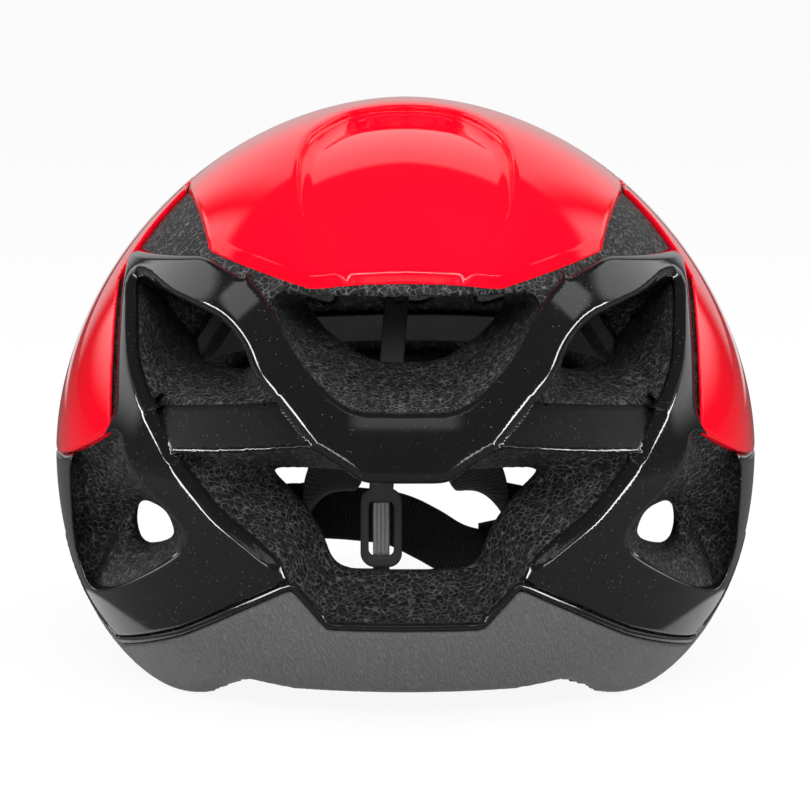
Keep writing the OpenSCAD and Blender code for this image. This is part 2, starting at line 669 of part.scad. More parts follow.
// Part of the route over which the width turns, and where that starts
twist_part = 0.4;
twist_from = 0.12;
module webbing(route, from, to) {
  p = smooth(route, 3);
  last = len(p) - 1;
  corners = [[1, 1], [1, -1], [-1, -1], [-1, 1]];
  polyhedron([for (i = [0:last])
    let (d = route_dir(p, i), turned = min(1, max(0, i / last - twist_from) / twist_part),
      w = across(d, from + (to - from) * turned), n = cross(d, w))
    each [for (c = corners) p[i] + w * c[0] * strap_w / 2 + n * c[1] * strap_t / 2]],
    ring_faces(last + 1, 4), convexity = 10);
}
module strap(sign_x, route, from, to) color([0.03, 0.03, 0.03]) {
  if (sign_x > 0) webbing(route, from, to);
  else mirror([1, 0, 0]) webbing(route, from, to);
}

// Anchors sit on the foam and hold the end of a strap in a pocket
strap_gap = 0.3;
seat = 0.8;
anchor_t = 3.4;
anchor_h = 8;
pocket = 3;
front_turn = 26.4;
rear_turn = -75;
front_wall = [65.4, 62, -6];
rear_wall = [20, -95.5, 13];
function inward(turn) = [-cos(turn), -sin(turn), 0];
front_start = front_wall + inward(front_turn) * (seat + anchor_t / 2);
rear_start = rear_wall + inward(rear_turn) * (seat + anchor_t / 2);
module anchor(wall, turn) translate(wall) rotate(turn) translate([-seat - anchor_t, 0, 0]) difference() {
  translate([0, -strap_w / 2 - 2, 0]) cube([anchor_t, strap_w + 4, anchor_h]);
  translate([(anchor_t - strap_t) / 2 - strap_gap, -strap_w / 2 - strap_gap, -1])
    cube([strap_t + 2 * strap_gap, strap_w + 2 * strap_gap, pocket + 1 + strap_gap]);
}
module front_anchors() color([0.12, 0.12, 0.12]) mirror_pair() anchor(front_wall, front_turn);
module rear_anchors() color([0.12, 0.12, 0.12]) mirror_pair() anchor(rear_wall, rear_turn);

// Dividers, with the front, rear and chin straps held in pockets, and a cam lever on a pin
divider_at = [47, 12, -26];
chin_x = 45;
rear_x = 48.9;
lever_t = 2.5;
lever_gap = 0.3;
ear_h = 2.3;
divider_in = divider_at[0] - divider_t / 2;
divider_y = [divider_at[1] - divider_l / 2, divider_at[1] + divider_l / 2];
hinge_x = divider_in - lever_gap - lever_t / 2;
hinge_y = divider_y[1] - 3;
ear_r = 2.4;
module divider() difference() {
  union() {
    translate([divider_in, divider_y[0], divider_at[2] - divider_h / 2])
      cube([divider_t, divider_l, divider_h]);
    for (z = [-divider_h / 2, divider_h / 2 - ear_h]) translate([hinge_x, hinge_y, divider_at[2] + z]) {
      cylinder(r = ear_r, h = ear_h);
      translate([0, -ear_r, 0]) cube([divider_in - hinge_x + 1, 2 * ear_r, ear_h]);
    }
  }
  translate([hinge_x, hinge_y, divider_at[2] - divider_h])
    cylinder(r = lever_pin_r + run_gap, h = 2 * divider_h);
  for (x = [chin_x, rear_x]) translate([x, divider_y[0] - 1, divider_at[2]]) divider_pocket();
  translate([divider_at[0], divider_y[1] - pocket - strap_gap, divider_at[2]]) divider_pocket();
}
module divider_pocket() translate([-strap_t / 2 - strap_gap, 0, -strap_w / 2 - strap_gap])
  cube([strap_t + 2 * strap_gap, pocket + 1 + strap_gap, strap_w + 2 * strap_gap]);
module lever() difference() {
  union() {
    translate([hinge_x, hinge_y, divider_at[2] - divider_h / 2 + ear_h + lever_gap])
      cylinder(r = lever_t / 2, h = divider_h - 2 * (ear_h + lever_gap));
    translate([hinge_x - lever_t / 2, divider_y[0] + 2, divider_at[2] - divider_h / 2 + ear_h + lever_gap])
      cube([lever_t, hinge_y - divider_y[0] - 2, divider_h - 2 * (ear_h + lever_gap)]);
  }
  translate([hinge_x, hinge_y, divider_at[2] - divider_h])
    cylinder(r = lever_pin_r + run_gap, h = 2 * divider_h);
}
module divider_left() color([0.1, 0.1, 0.1]) mirror([1, 0, 0]) divider();
module divider_right() color([0.1, 0.1, 0.1]) divider();
module lever_left() color([0.14, 0.14, 0.14]) mirror([1, 0, 0]) lever();
module lever_right() color([0.14, 0.14, 0.14]) lever();
module lever_pins() color([0.6, 0.6, 0.62]) mirror_pair()
  translate([hinge_x, hinge_y, divider_at[2] - divider_h / 2]) cylinder(r = lever_pin_r, h = divider_h);

// Buckle: the clip's rail slides up out of the socket's groove
buckle_at = [25, -53.5, -23];
buckle_turn = 51.5;
half_l = buckle_l - 7;
half_t = 4;
half_h = strap_w + 2;
half_gap = 0.3;
rail_x = buckle_l / 2;
module at_buckle() { translate(buckle_at) rotate(buckle_turn) children(); }
module rail(grow) {
  translate([rail_x - 1.5 - grow, -half_gap, -half_h / 2]) cube([3 + 2 * grow, 1.8, half_h]);
  translate([rail_x - 3 - grow, 1.5 - grow, -half_h / 2]) cube([6 + 2 * grow, 1.3 + 2 * grow, half_h]);
}
module strap_pocket(x) translate([x, -strap_t / 2 - strap_gap, -strap_w / 2 - strap_gap])
  cube([pocket + 1 + strap_gap, strap_t + 2 * strap_gap, strap_w + 2 * strap_gap]);
socket_y = half_gap / 2 + half_t / 2;
module buckle_socket() color([0.05, 0.05, 0.05]) at_buckle() difference() {
  translate([0, half_gap / 2, -half_h / 2]) cube([half_l, half_t, half_h]);
  groove();
  translate([0, socket_y, 0]) strap_pocket(-1);
}
module groove() for (z = [-half_h / 2, half_h / 2]) translate([0, 0, z]) rail(half_gap);
module buckle_clip() color([0.07, 0.07, 0.07]) at_buckle() union() {
  difference() {
    translate([buckle_l - half_l, -half_gap / 2 - half_t, -half_h / 2]) cube([half_l, half_t, half_h]);
    // This pocket is open below, so that the clip can be lifted off the strap's end
    for (z = [0, -half_h / 2]) translate([0, -socket_y, z]) strap_pocket(buckle_l - pocket - strap_gap);
  }
  rail(0);
}

// Routes of the straps on the rider's right; the left front and rear straps mirror them
front_route = [front_start + [0, 0, pocket], front_start + [0, 0, -4], [63, 59, -24], [60, 53, -35],
  [55.5, 45, -42], [51.5, 38, -39], [48.5, 33, -31], [47.2, 29, -26.4], [47, 26, -26], [47, 20, -26]];
rear_route = [rear_start + [0, 0, pocket], rear_start, rear_start + [0, 0, -3], [23, -88, 2],
  [29, -78, -4], [37, -64, -9], [43.5, -50, -12.5], [48.5, -36, -17], [49.5, -22, -22], [49, -8, -26],
  [rear_x, 1, -26], [rear_x, 4, -26]];
buckle_dir = [cos(buckle_turn), sin(buckle_turn), 0];
buckle_out = [-sin(buckle_turn), cos(buckle_turn), 0];
socket_end = buckle_at + buckle_out * socket_y;
clip_end = buckle_at + buckle_dir * buckle_l - buckle_out * socket_y;
chin_left_route = [[-chin_x, 4, -26], [-chin_x, 1, -26], [-chin_x, -6, -26], [-44.8, -16, -24.5],
  [-43.5, -28, -20],
  [-40, -44, -13], [-34, -57, -9], [-25, -66, -8],
  [-14, -70.5, -8], [-3, -71, -9.5], [6, -69, -14], [14, -63.5, -19.5],
  socket_end - buckle_dir * 4, socket_end, socket_end + buckle_dir * pocket];
chin_right_route = [clip_end - buckle_dir * pocket, clip_end, clip_end + buckle_dir * 4, [46, -26, -24],
  [46, -16, -25], [45.2, -6, -26], [chin_x, 1, -26], [chin_x, 4, -26]];
up = [0, 0, 1];
front_flat = [-sin(front_turn), cos(front_turn), 0];
rear_flat = [-sin(rear_turn), cos(rear_turn), 0];
module front_strap_left() strap(-1, front_route, front_flat, up);
module front_strap_right() strap(1, front_route, front_flat, up);
module rear_strap_left() strap(-1, rear_route, -rear_flat, up);
module rear_strap_right() strap(1, rear_route, -rear_flat, up);
module chin_strap_left() strap(1, chin_left_route, up, up);
module chin_strap_right() strap(1, chin_right_route, up, up);

eps_liner();
crown_shell();
side_shell_left();
side_shell_right();
rear_frame();
rim_band();
seam_trim();
rear_arm();
arm_rivet();
temple_plates();
temple_pins();
headband();
brow_pad();
crown_pad();
side_pad_left();
side_pad_right();
pad_dots();
cradle_base();
cradle_cover();
cover_screws();
yoke_arm_left();
yoke_arm_right();
dial_shaft();
adjuster_dial();
dial_grip();
rack_left();
rack_right();
paddle_left();
paddle_right();
nape_pad_left();
nape_pad_right();
front_anchors();
rear_anchors();
front_strap_left();
front_strap_right();
rear_strap_left();
rear_strap_right();
chin_strap_left();
chin_strap_right();
divider_left();
divider_right();
lever_pins();
lever_left();
lever_right();
buckle_socket();
buckle_clip();
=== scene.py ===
"""Looks of a cycling helmet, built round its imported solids.

Forms are written as fields in millimetres, negative inside, and turned into meshes in metres.
+X is the rider's right, +Y is forward, +Z is up.
"""

import math
from functools import reduce

import bpy
import numpy as np
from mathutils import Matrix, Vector


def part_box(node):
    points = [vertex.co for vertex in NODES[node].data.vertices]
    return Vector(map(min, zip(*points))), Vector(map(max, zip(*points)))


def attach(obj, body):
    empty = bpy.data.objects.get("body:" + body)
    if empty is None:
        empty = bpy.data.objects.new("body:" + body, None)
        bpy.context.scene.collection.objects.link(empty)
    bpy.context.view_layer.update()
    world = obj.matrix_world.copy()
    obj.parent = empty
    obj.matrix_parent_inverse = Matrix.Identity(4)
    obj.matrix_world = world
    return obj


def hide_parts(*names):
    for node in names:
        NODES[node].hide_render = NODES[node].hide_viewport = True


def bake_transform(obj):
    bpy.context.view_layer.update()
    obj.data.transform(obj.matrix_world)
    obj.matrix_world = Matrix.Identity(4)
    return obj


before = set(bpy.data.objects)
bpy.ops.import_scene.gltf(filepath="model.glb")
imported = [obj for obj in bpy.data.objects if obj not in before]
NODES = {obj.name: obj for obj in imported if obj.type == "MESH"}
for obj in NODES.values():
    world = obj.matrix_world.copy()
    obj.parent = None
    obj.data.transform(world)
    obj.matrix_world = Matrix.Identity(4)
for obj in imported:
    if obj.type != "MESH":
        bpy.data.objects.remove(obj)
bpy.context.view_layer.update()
MM = 0.001
FAR = 200.0

# Sizes of the solids, in millimetres
HALF_W, REAR_LEN, FRONT_LEN = 107.0, 140.0, 142.0
CROWN_H, LOWER_H, BELT_Z, END_POWER, CROWN_POWER = 105.0, 112.0, 4.0, 2.5, 1.9
SHELL_T, BOND_GAP, SEAM_GAP = 1.6, 0.2, 0.8
ARCH_DROP, ARCH_BACK, ARCH_LEAN = 5.5, 4.5, 0.8
ELEVATION = math.radians(8)  # of the camera
HEAD_HALF_W, HEAD_FRONT, HEAD_REAR, HEAD_TOP, PLAN_POWER = 78.0, 104.0, 102.0, 84.0, 2.2
PAD_T, PAD_DEPTH, LINING_GAP, STRIP_T, YOKE_GAP = 5.0, 1.3, 0.3, 2.0, 10.0


# Curves and outlines


def smooth(points, n=8):
    """Points of a smooth curve through the given ones."""
    p = np.asarray(points, float)
    out = []
    for i in range(len(p) - 1):
        a, b, c, d = p[max(i - 1, 0)], p[i], p[i + 1], p[min(i + 2, len(p) - 1)]
        for k in range(n):
            t = k / n
            bend, twist = 2 * a - 5 * b + 4 * c - d, 3 * b - a - 3 * c + d
            out.append(0.5 * (2 * b + (c - a) * t + bend * t * t + twist * t**3))
    out.append(p[-1])
    return np.array(out)


def rounded(points, r, n=6):
    """A closed outline with its corners rounded, each over at most r of its sides."""
    p = np.asarray(points, float)
    out = []
    for i in range(len(p)):
        a, b, c = p[i - 1], p[i], p[(i + 1) % len(p)]
        to_a, to_c = a - b, c - b
        start = b + to_a * min(r / np.linalg.norm(to_a), 0.48)
        end = b + to_c * min(r / np.linalg.norm(to_c), 0.48)
        for t in np.linspace(0, 1, n):
            out.append((1 - t) ** 2 * start + 2 * t * (1 - t) * b + t * t * end)
    return np.array(out)


def both_sides(points):
    """Closes half an outline, which starts and ends on the centre line, with its mirror image."""
    p = [tuple(q) for q in points]
    return p + [(-q[0], q[1]) for q in reversed(p) if abs(q[0]) > 1e-9]


class Outline:
    """Signed distance to a closed outline, negative inside, read from a fine grid."""

    def __init__(self, points, pad=14.0, step=0.4):
        p = np.asarray(points, float)
        self.lo, self.step = p.min(0) - pad, step
        size = np.ceil((p.max(0) + pad - self.lo) / step).astype(int) + 1
        u = (self.lo[0] + np.arange(size[0]) * step)[:, None]
        v = (self.lo[1] + np.arange(size[1]) * step)[None, :]
        best = np.full(size, 1e12)
        inside = np.zeros(size, bool)
        for (ax, ay), (bx, by) in zip(p, np.roll(p, -1, 0)):
            ex, ey = bx - ax, by - ay
            length = ex * ex + ey * ey
            if length < 1e-12:
                continue
            t = np.clip(((u - ax) * ex + (v - ay) * ey) / length, 0, 1)
            best = np.minimum(best, (u - ax - ex * t) ** 2 + (v - ay - ey * t) ** 2)
            if ey:
                inside ^= ((ay > v) != (by > v)) & (u < ex * (v - ay) / ey + ax)
        self.grid = np.where(inside, -1.0, 1.0) * np.sqrt(best)

    def __call__(self, u, v):
        u, v = np.broadcast_arrays(u, v)
        out = 0.0
        fu = np.clip((u - self.lo[0]) / self.step, 1, self.grid.shape[0] - 2.001)
        fv = np.clip((v - self.lo[1]) / self.step, 1, self.grid.shape[1] - 2.001)
        iu, iv = fu.astype(int), fv.astype(int)
        wu, wv = cubic(fu - iu), cubic(fv - iv)
        last_u, last_v = self.grid.shape[0] - 1, self.grid.shape[1] - 1
        for i in range(4):
            row = np.minimum(iu + i - 1, last_u)
            for j in range(4):
                out = out + wu[i] * wv[j] * self.grid[row, np.minimum(iv + j - 1, last_v)]
        return out


def cubic(t):
    """Weights of four neighbours, for a smooth value between the middle two."""
    return (
        -0.5 * t + t * t - 0.5 * t**3,
        1 - 2.5 * t * t + 1.5 * t**3,
        0.5 * t + 2 * t * t - 1.5 * t**3,
        -0.5 * t * t + 0.5 * t**3,
    )


def largest(*fields):
    """Where every field is inside."""
    return reduce(np.maximum, fields)


def smallest(*fields):
    """Where any field is inside."""
    return reduce(np.minimum, fields)


def round_max(a, b, r):
    """Where both fields are inside, with the edge between them rounded to radius r."""
    return np.minimum(np.maximum(a, b), -r) + np.hypot(np.maximum(a + r, 0), np.maximum(b + r, 0))


def round_min(a, b, r):
    """Where either field is inside, with the corner between them filled to radius r."""
    return -round_max(-a, -b, r)


# Main forms


def body(x, y, z):
    """Outer form of the helmet, as a distance."""
    b = np.where(y < 0, REAR_LEN, FRONT_LEN)
    dz = z - BELT_Z
    c, power = np.where(dz > 0, CROWN_H, LOWER_H), np.where(dz > 0, CROWN_POWER, 2.0)
    u, v, w = np.abs(x) / HALF_W, np.abs(dz) / c, np.abs(y) / b
    section = np.maximum(u**power + v**power, 1e-9)
    gauge = section ** (2 / power) + w**END_POWER - 1
    across = 2 * section ** (2 / power - 1)
    gx, gz = across * u ** (power - 1) / HALF_W, across * v ** (power - 1) / c
    gy = END_POWER * w ** (END_POWER - 1) / b
    return gauge / np.maximum(np.sqrt(gx * gx + gy * gy + gz * gz), 0.006)


def head(x, y, z, depth=0.0):
    """Space for the head, set in by depth."""
    b = np.where(y < 0, HEAD_REAR, HEAD_FRONT) - depth
    wide, long = np.abs(x) / (HEAD_HALF_W - depth), np.abs(y) / b
    plan = (wide**PLAN_POWER + long**PLAN_POWER) ** (1 / PLAN_POWER)
    up = np.maximum(z, 0)
    gauge = np.sqrt(plan**2 + (up / (HEAD_TOP - depth)) ** 2)
    reach = np.sqrt(x * x + y * y + up * up) / np.maximum(gauge, 1e-6)
    return (gauge - 1) * np.maximum(reach, 40)


# Lower edge of the rim: place along the helmet, and height
RIM_LINE = smooth(
    [
        (-200, -50.5), (-125, -50.5), (-119, -50.5), (-112, -49), (-104, -52), (-92, -57), (-78, -56),
        (-60, -47), (-40, -32), (-20, -16), (0, -8.5), (40, -7), (80, -9.5), (110, -11), (200, -10),
    ],
    24,
)


def line_height(line, t):
    return np.interp(t, line[:, 0], line[:, 1])


def rim(y):
    return line_height(RIM_LINE, y)


# Upper edge of the rim band: from behind by half width, and from the side by place along the helmet
NOTCH_FLOOR = -31.0
BAND_REAR = np.array(
    [
        (-1, NOTCH_FLOOR), (20.5, NOTCH_FLOOR), (22.4, -30.6), (23.6, -29.2), (30.8, -21.0), (32.4, -19.7),
        (34.5, -20.6), (38, -22.5), (48, -28), (64, -37.5), (84, -47), (200, -100),
    ],
    float,
)
BAND_SIDE = smooth(
    [(-69, -47), (-50, -37), (-30, -22), (-10, -6), (10, 0), (40, 1), (80, -1), (200, -2)], 16
)
SPLIT_Y = -69.0


def band_edge(x, y, z):
    """Height above the upper edge of the rim band, square to that edge."""
    ax = np.abs(x)
    rear_h = line_height(BAND_REAR, ax)
    rear_s = line_height(BAND_REAR, ax + 0.5) - line_height(BAND_REAR, np.maximum(ax - 0.5, 0))
    side_y = np.maximum(y, SPLIT_Y)
    side_h = line_height(BAND_SIDE, side_y)
    side_s = line_height(BAND_SIDE, side_y + 0.5) - line_height(BAND_SIDE, side_y - 0.5)
    w = np.clip((y - SPLIT_Y + 5) / 10, 0, 1)
    w = w * w * (3 - 2 * w)
    return (1 - w) * (z - rear_h) / np.sqrt(1 + rear_s**2) + w * (z - side_h) / np.sqrt(1 + side_s**2)


# Crown: its outline and the arch sunk into it
TAIL_EDGE = smooth(
    [(0, 65), (14, 64.4), (24, 63.3), (27.5, 63.2), (31, 64), (44, 67.3), (57, 70.6), (66, 73)], 10
)
CROWN_SIDE = smooth(
    [(54, -130), (54, -100), (57.4, -78), (63.8, -35), (66, 0), (62, 50), (54, 90), (44, 125), (38, 160)], 10
)
# The arch as the camera sees it: half width, and height across the line of sight
ARCH_LINE = [
    (16, 44), (20.1, 52.6), (29.2, 66.6), (31.3, 74.2), (31.4, 85.6),
    (30.3, 91.8), (27.2, 97), (18, 103.6), (9, 105.8), (0, 106.4),
]
ARCH = Outline(both_sides([(0, 24), (12, 34)] + [tuple(q) for q in smooth(ARCH_LINE, 8)]))
ARCH_END = 12.0


def arched(sd, x, y, z):
    """The outer form with the arch sunk into it."""
    floor = body(x, y + ARCH_BACK, z + ARCH_DROP)
    out = 1 - sd / np.maximum(np.sqrt(x * x + y * y + z * z), 40)  # carries a point out to the surface
    across = z * math.cos(ELEVATION) + y * math.sin(ELEVATION)
    zone = np.maximum(ARCH(x * out, across * out), y - ARCH_END)
    return round_max(sd, round_min(-ARCH_LEAN * zone, floor, 3.0), 1.2)


def crown_side(x, y):
    """How far a point is outside the crown's side edge."""
    return np.abs(x) - np.interp(y, CROWN_SIDE[:, 1], CROWN_SIDE[:, 0])


def tail(x, z):
    """How far a point is below the tail's lower edge."""
    return line_height(TAIL_EDGE, np.abs(x)) - z


def tail_zone(x, y, z):
    """As tail, and well inside on the front half."""
    return np.where(y < 0, tail(x, z), -FAR)


# Rear openings, as seen from behind: each narrows from its mouth to its throat
V_HALF = [(0, 31), (15.5, 31), (27, 40.5), (34, 50), (39.5, 61)]
V_MOUTH = both_sides(V_HALF)
V_THROAT = both_sides([(0, 40), (10, 40), (21, 46.5), (26, 51), (31, 58)])
LOW_MOUTH = both_sides(
    [
        (0, -31), (22, -31), (33, -18), (35.2, -11.5), (42.8, -5.3), (52.8, 2.2),
        (65, 16.5), (26.5, 21), (16, 14.5), (12, 11.5), (0, 11.5),
    ]
)
LOW_THROAT = both_sides(
    [(0, -18.5), (18, -18.5), (21.6, -15), (23.5, -9), (27, -3), (31, 2), (40, 10), (30, 11), (0, 11)]
)
SIDE_MOUTH = [
    (79.5, 61), (63, 57.3), (52.3, 54), (46, 47.5), (43, 39.5),
    (36.8, 33.5), (39, 31.8), (71.7, 27.7), (77, 39),
]
SIDE_THROAT = [
    (63, 57), (56, 55), (48, 52), (44, 48), (43.5, 43), (44.5, 37), (47, 35.5), (62, 35.5), (64, 44),
]
POD_MOUTH = [
    (82.5, 20.5), (81.8, 14.3), (78.4, 8.7), (71.4, 2.4), (64.6, -3), (62.6, -7), (63.5, -11.2), (69, -16),
    (80.5, -24.5), (88, -29.5), (94, -32), (98, -21), (99, 5.7), (97, 10), (89, 17.2),
]
POD_THROAT = [
    (76.5, 0), (75, 0), (73, -1), (71, -2), (69, -4), (68, -6), (67, -9), (67, -11),
    (70, -12.5), (73, -13), (75, -13), (77, -11), (78, -7), (78, -4), (77.5, -1),
]
THROAT_Y, POD_EXIT_Y = -92.0, 5.0
POD_RUN = (0.056, -0.167)  # outward and upward shift for each millimetre forward
BAR = [(36.8, 33.5), (26.5, 21), (65, 16.5), (71.7, 27.7), (39, 31.8)]
BAR_ZONE = Outline(rounded(BAR, 1.0))

v_mouth, v_throat = Outline(rounded(V_MOUTH, 7)), Outline(rounded(V_THROAT, 7))
low_mouth, low_throat = Outline(rounded(LOW_MOUTH, 4)), Outline(rounded(LOW_THROAT, 5))
side_mouth, side_throat = Outline(rounded(SIDE_MOUTH, 4)), Outline(rounded(SIDE_THROAT, 6))
pod_mouth, pod_throat = Outline(rounded(POD_MOUTH, 5)), Outline(rounded(POD_THROAT, 1.5))

MOUTH_DEPTH, V_DEEP, LOW_DEEP, SIDE_DEEP, POD_DEEP = 2.0, 38.0, 36.0, 34.0, 22.0
V_END_Y, LOW_END_Y, SIDE_END_Y = -40.0, -60.0, -40.0


def morph(near, far, depth, deep):
    """An opening that goes from its mouth to its throat, which it reaches at the given depth."""
    s = np.clip((depth - MOUTH_DEPTH) / (deep - MOUTH_DEPTH), 0, 1)
    return (1 - s) * near + s * far


def foam_vents(x, y, z, depth):
    """The four rear openings through the foam."""
    ax = np.abs(x)
    past = np.maximum(y - THROAT_Y, 0)
    v = np.maximum(morph(v_mouth(x, z) - 1.0, v_throat(x, z), depth, V_DEEP), y - V_END_Y)
    low = np.maximum(morph(low_mouth(x, z) - 1.0, low_throat(x, z), depth, LOW_DEEP), y - LOW_END_Y)
    side = np.maximum(morph(side_mouth(ax, z) - 1.0, side_throat(ax, z), depth, SIDE_DEEP), y - SIDE_END_Y)
    pod_far = pod_throat(ax - POD_RUN[0] * past, z - POD_RUN[1] * past)
    pod = np.maximum(morph(pod_mouth(ax, z) - 1.0, pod_far, depth, POD_DEEP), y - POD_EXIT_Y)
    return smallest(v, low, side, pod)


FRONT_CENTRE = Outline(rounded(both_sides([(0, 35), (8, 35), (11, 43), (12, 56), (9, 61), (0, 61)]), 3))
FRONT_OUTER = Outline(rounded([(23, 34), (37, 39), (43, 52), (38, 58), (24, 57), (21, 45)], 4))


def front_intakes(x, y, z):
    return np.maximum(np.minimum(FRONT_CENTRE(x, z), FRONT_OUTER(np.abs(x), z)), 30 - y)


SLOT_REAR, SLOT_FRONT, SLOT_REAR_R, SLOT_FRONT_R = (22, 30), (66, 38), 5, 3


def side_slots(y, z):
    """A tapered slot in each side."""
    return capsule(y, z, SLOT_REAR, SLOT_FRONT, SLOT_REAR_R, SLOT_FRONT_R)


# Lower edge of the foam at the rear, by half width
RIM_REAR = np.array(
    [
        (0, -50.5), (32, -50.5), (40, -49.9), (48, -49), (56, -52),
        (64, -57), (72, -57.5), (73, -90), (300, -90),
    ],
    float,
)


def liner(x, y, z):
    """The foam: under the shells, round the head and open at every vent."""
    sd = body(x, y, z)
    f = round_max(arched(sd, x, y, z) + SHELL_T + BOND_GAP, -head(x, y, z), 3.0)
    f = round_max(f, -foam_vents(x, y, z, -sd), 1.4)
    f = round_max(f, -np.maximum(BAR_ZONE(np.abs(x), z) - 2, -(bar_ramp(x, z, sd) + BAR_T)), 0.8)
    f = round_max(f, -(front_intakes(x, y, z) + 1), 2.0)
    f = round_max(f, -(side_slots(y, z) + 1), 2.0)
    low = np.maximum(rim(y), np.where(y < 0, line_height(RIM_REAR, np.abs(x)), -FAR)) + 0.6
    return round_max(f, (low - z) * 0.8, 3.0)


# Edges of a cross bar: half width at its inner end, height there, and slope
BAR_TOP, BAR_FOOT = (39, 31.8, -0.125), (26.5, 21, -0.117)
BAR_T, BAR_SINK = 3.5, 5.5


def bar_ramp(x, z, sd):
    """Face of a cross bar: near the outer form at its lower edge and sunk at its upper one."""
    top, foot = bar_edges(x)
    return sd + 0.6 + BAR_SINK * np.clip((z - foot) / (top - foot), -0.1, 1.3)


def bar_edges(x):
    """Heights of a cross bar's upper and lower edge."""
    return [h + (np.abs(x) - at) * lean for at, h, lean in (BAR_TOP, BAR_FOOT)]


# Thickness of each shell at its edge
CROWN_T, SIDE_T, FRAME_T, BAND_T = 3.4, 3.2, 7.0, 4.0


def shell(outer, edge, thick, r_out, r_in=0.6):
    """A moulded shell: its outer form, the outline of its edge, and its thickness at the edge."""
    return round_max(round_max(outer, edge, r_out), -(outer + thick), r_in)


TAIL_LIP, LIP_SLOPE, LIP_CREASE = 4.2, 0.42, 0.25


def crown(x, y, z):
    """The red crown shell, with a turned-down lip along its tail."""
    sd = arched(body(x, y, z), x, y, z)
    t = tail_zone(x, y, z)
    lip = sd + LIP_SLOPE * LIP_CREASE * np.logaddexp(0, (t + TAIL_LIP) / LIP_CREASE)
    edge = largest(crown_side(x, y), t * 0.98, SEAM_GAP - band_edge(x, y, z), -front_intakes(x, y, z))
    return shell(lip, edge, CROWN_T, 0.9)


SIDE_LOW = smooth(
    [(-95, 26.5), (-86, 17.4), (-68, 10), (-45, 5.5), (-20, 4), (5, 3), (25, 2.2), (60, 1.5), (200, -1)], 12
)
POST_X, WINDOW_TIP, WINDOW_REAR, SIDE_FRONT = 84.5, -15.0, -41.0, 66.0
BESIDE_CROWN = [(q[0], q[1]) for q in CROWN_SIDE[::4] if q[1] > WINDOW_TIP]
BESIDE_FRAME = [(160, 170), (160, -95), (POST_X, -95), (POST_X, WINDOW_REAR), (SIDE_FRONT, WINDOW_TIP)]
SIDE_PLAN = Outline(rounded(BESIDE_CROWN + BESIDE_FRAME, 1.5, 3))


def on_side(field, sign):
    """A field drawn on the right, carried to the side of the given sign."""
    return lambda x, y, z: field(x * sign, y, z)


def side_shell(x, y, z):
    low = (line_height(SIDE_LOW, y) - z) * 0.92
    seams = largest(SIDE_PLAN(x, y), low, -band_edge(x, y, z)) + SEAM_GAP
    edge = largest(seams, -side_slots(y, z), -front_intakes(x, y, z))
    return shell(body(x, y, z), edge, SIDE_T, 0.9)


FRAME_HALF = [
    (0, 80), (46, 80), (46, 65.2), (58, 70.4), (POST_X, 66.5), (POST_X, 26),
    (89, 17), (97.5, 9.7), (106, 4.6), (150, 3.5), (150, -80), (0, -80),
]
FRAME_EDGE = Outline(rounded(both_sides(FRAME_HALF), 3.0))
FRAME_SIDE = Outline(rounded([(-180, 100), (-20, 100), (-20, 3.8), (8, 2), (-10, -20), (-180, -120)], 2.0))
V_OPEN = Outline(rounded(both_sides(V_HALF + [(46, 66), (46, 84), (0, 84)]), 6))
TRIM_H = 2.0
CHAMFER_V, CHAMFER_LEG, CHAMFER_SLOPE, CREASE = 2.2, 3.8, 0.75, 0.3
LEG_X, LEG_LEAN, LEG_BLEND = 40, 0.45, 6


def chamfer(ax, z, gap):
    """How far the frame's face falls towards an opening: a narrow band on the V, wider on posts and legs."""
    on_leg = np.clip((ax - LEG_X - LEG_LEAN * z) / LEG_BLEND, 0, 1)
    width = CHAMFER_V + (CHAMFER_LEG - CHAMFER_V) * on_leg
    return CHAMFER_SLOPE * CREASE * np.logaddexp(0, (width - gap) / CREASE)


def rear_frame(x, y, z):
    """The gloss black moulding: V, posts, legs and pods, with the cross bars sunk between them."""
    sd = body(x, y, z)
    ax = np.abs(x)
    low, side = low_mouth(x, z), side_mouth(ax, z)
    bar = BAR_ZONE(ax, z)
    gap = smallest(low, side, bar)
    openings = smallest(gap, V_OPEN(x, z), pod_mouth(ax, z))
    outside = FRAME_EDGE(x, z) + SEAM_GAP / 2
    by_crown = SEAM_GAP - np.maximum(crown_side(x, y), tail_zone(x, y, z))
    by_band = TRIM_H + SEAM_GAP / 2 - band_edge(x, y, z)
    edge = largest(outside, FRAME_SIDE(y, z), -openings, by_crown, by_band)
    main = shell(sd + chamfer(ax, z, gap), edge, FRAME_T, 1.2)
    ramp = bar_ramp(x, z, sd)
    top, foot = bar_edges(x)
    edge = largest(bar - 1.5, z - top, foot - z)
    return np.minimum(main, shell(ramp, edge, BAR_T, 1.3))


def rim_band(x, y, z):
    """The satin band round the lower edge."""
    sd = body(x, y, z)
    edge = np.maximum(band_edge(x, y, z), (rim(y) - z) * 0.8)
    return shell(sd, edge, BAND_T, 1.4)


BEAD_LIFT, BEAD_DEPTH, BEAD_FLAT, BEAD_R, BEAD_END_Y = 0.15, 1.4, 0.75, 0.95, -30


def seam_trim(x, y, z):
    """A gloss bead between the rear frame and the rim band."""
    across = band_edge(x, y, z) - TRIM_H / 2 - BEAD_LIFT
    bead = np.hypot(np.maximum(np.abs(body(x, y, z) + BEAD_DEPTH) - BEAD_FLAT, 0), across) - BEAD_R
    return np.maximum(bead, y - BEAD_END_Y)


# Fit system


def lining(x, y, z, depth, thick, edge, r=0.5):
    """A strip that follows the head space at the given depth."""
    return round_max(round_max(head(x, y, z, depth), edge, r), -head(x, y, z, depth + thick), r)


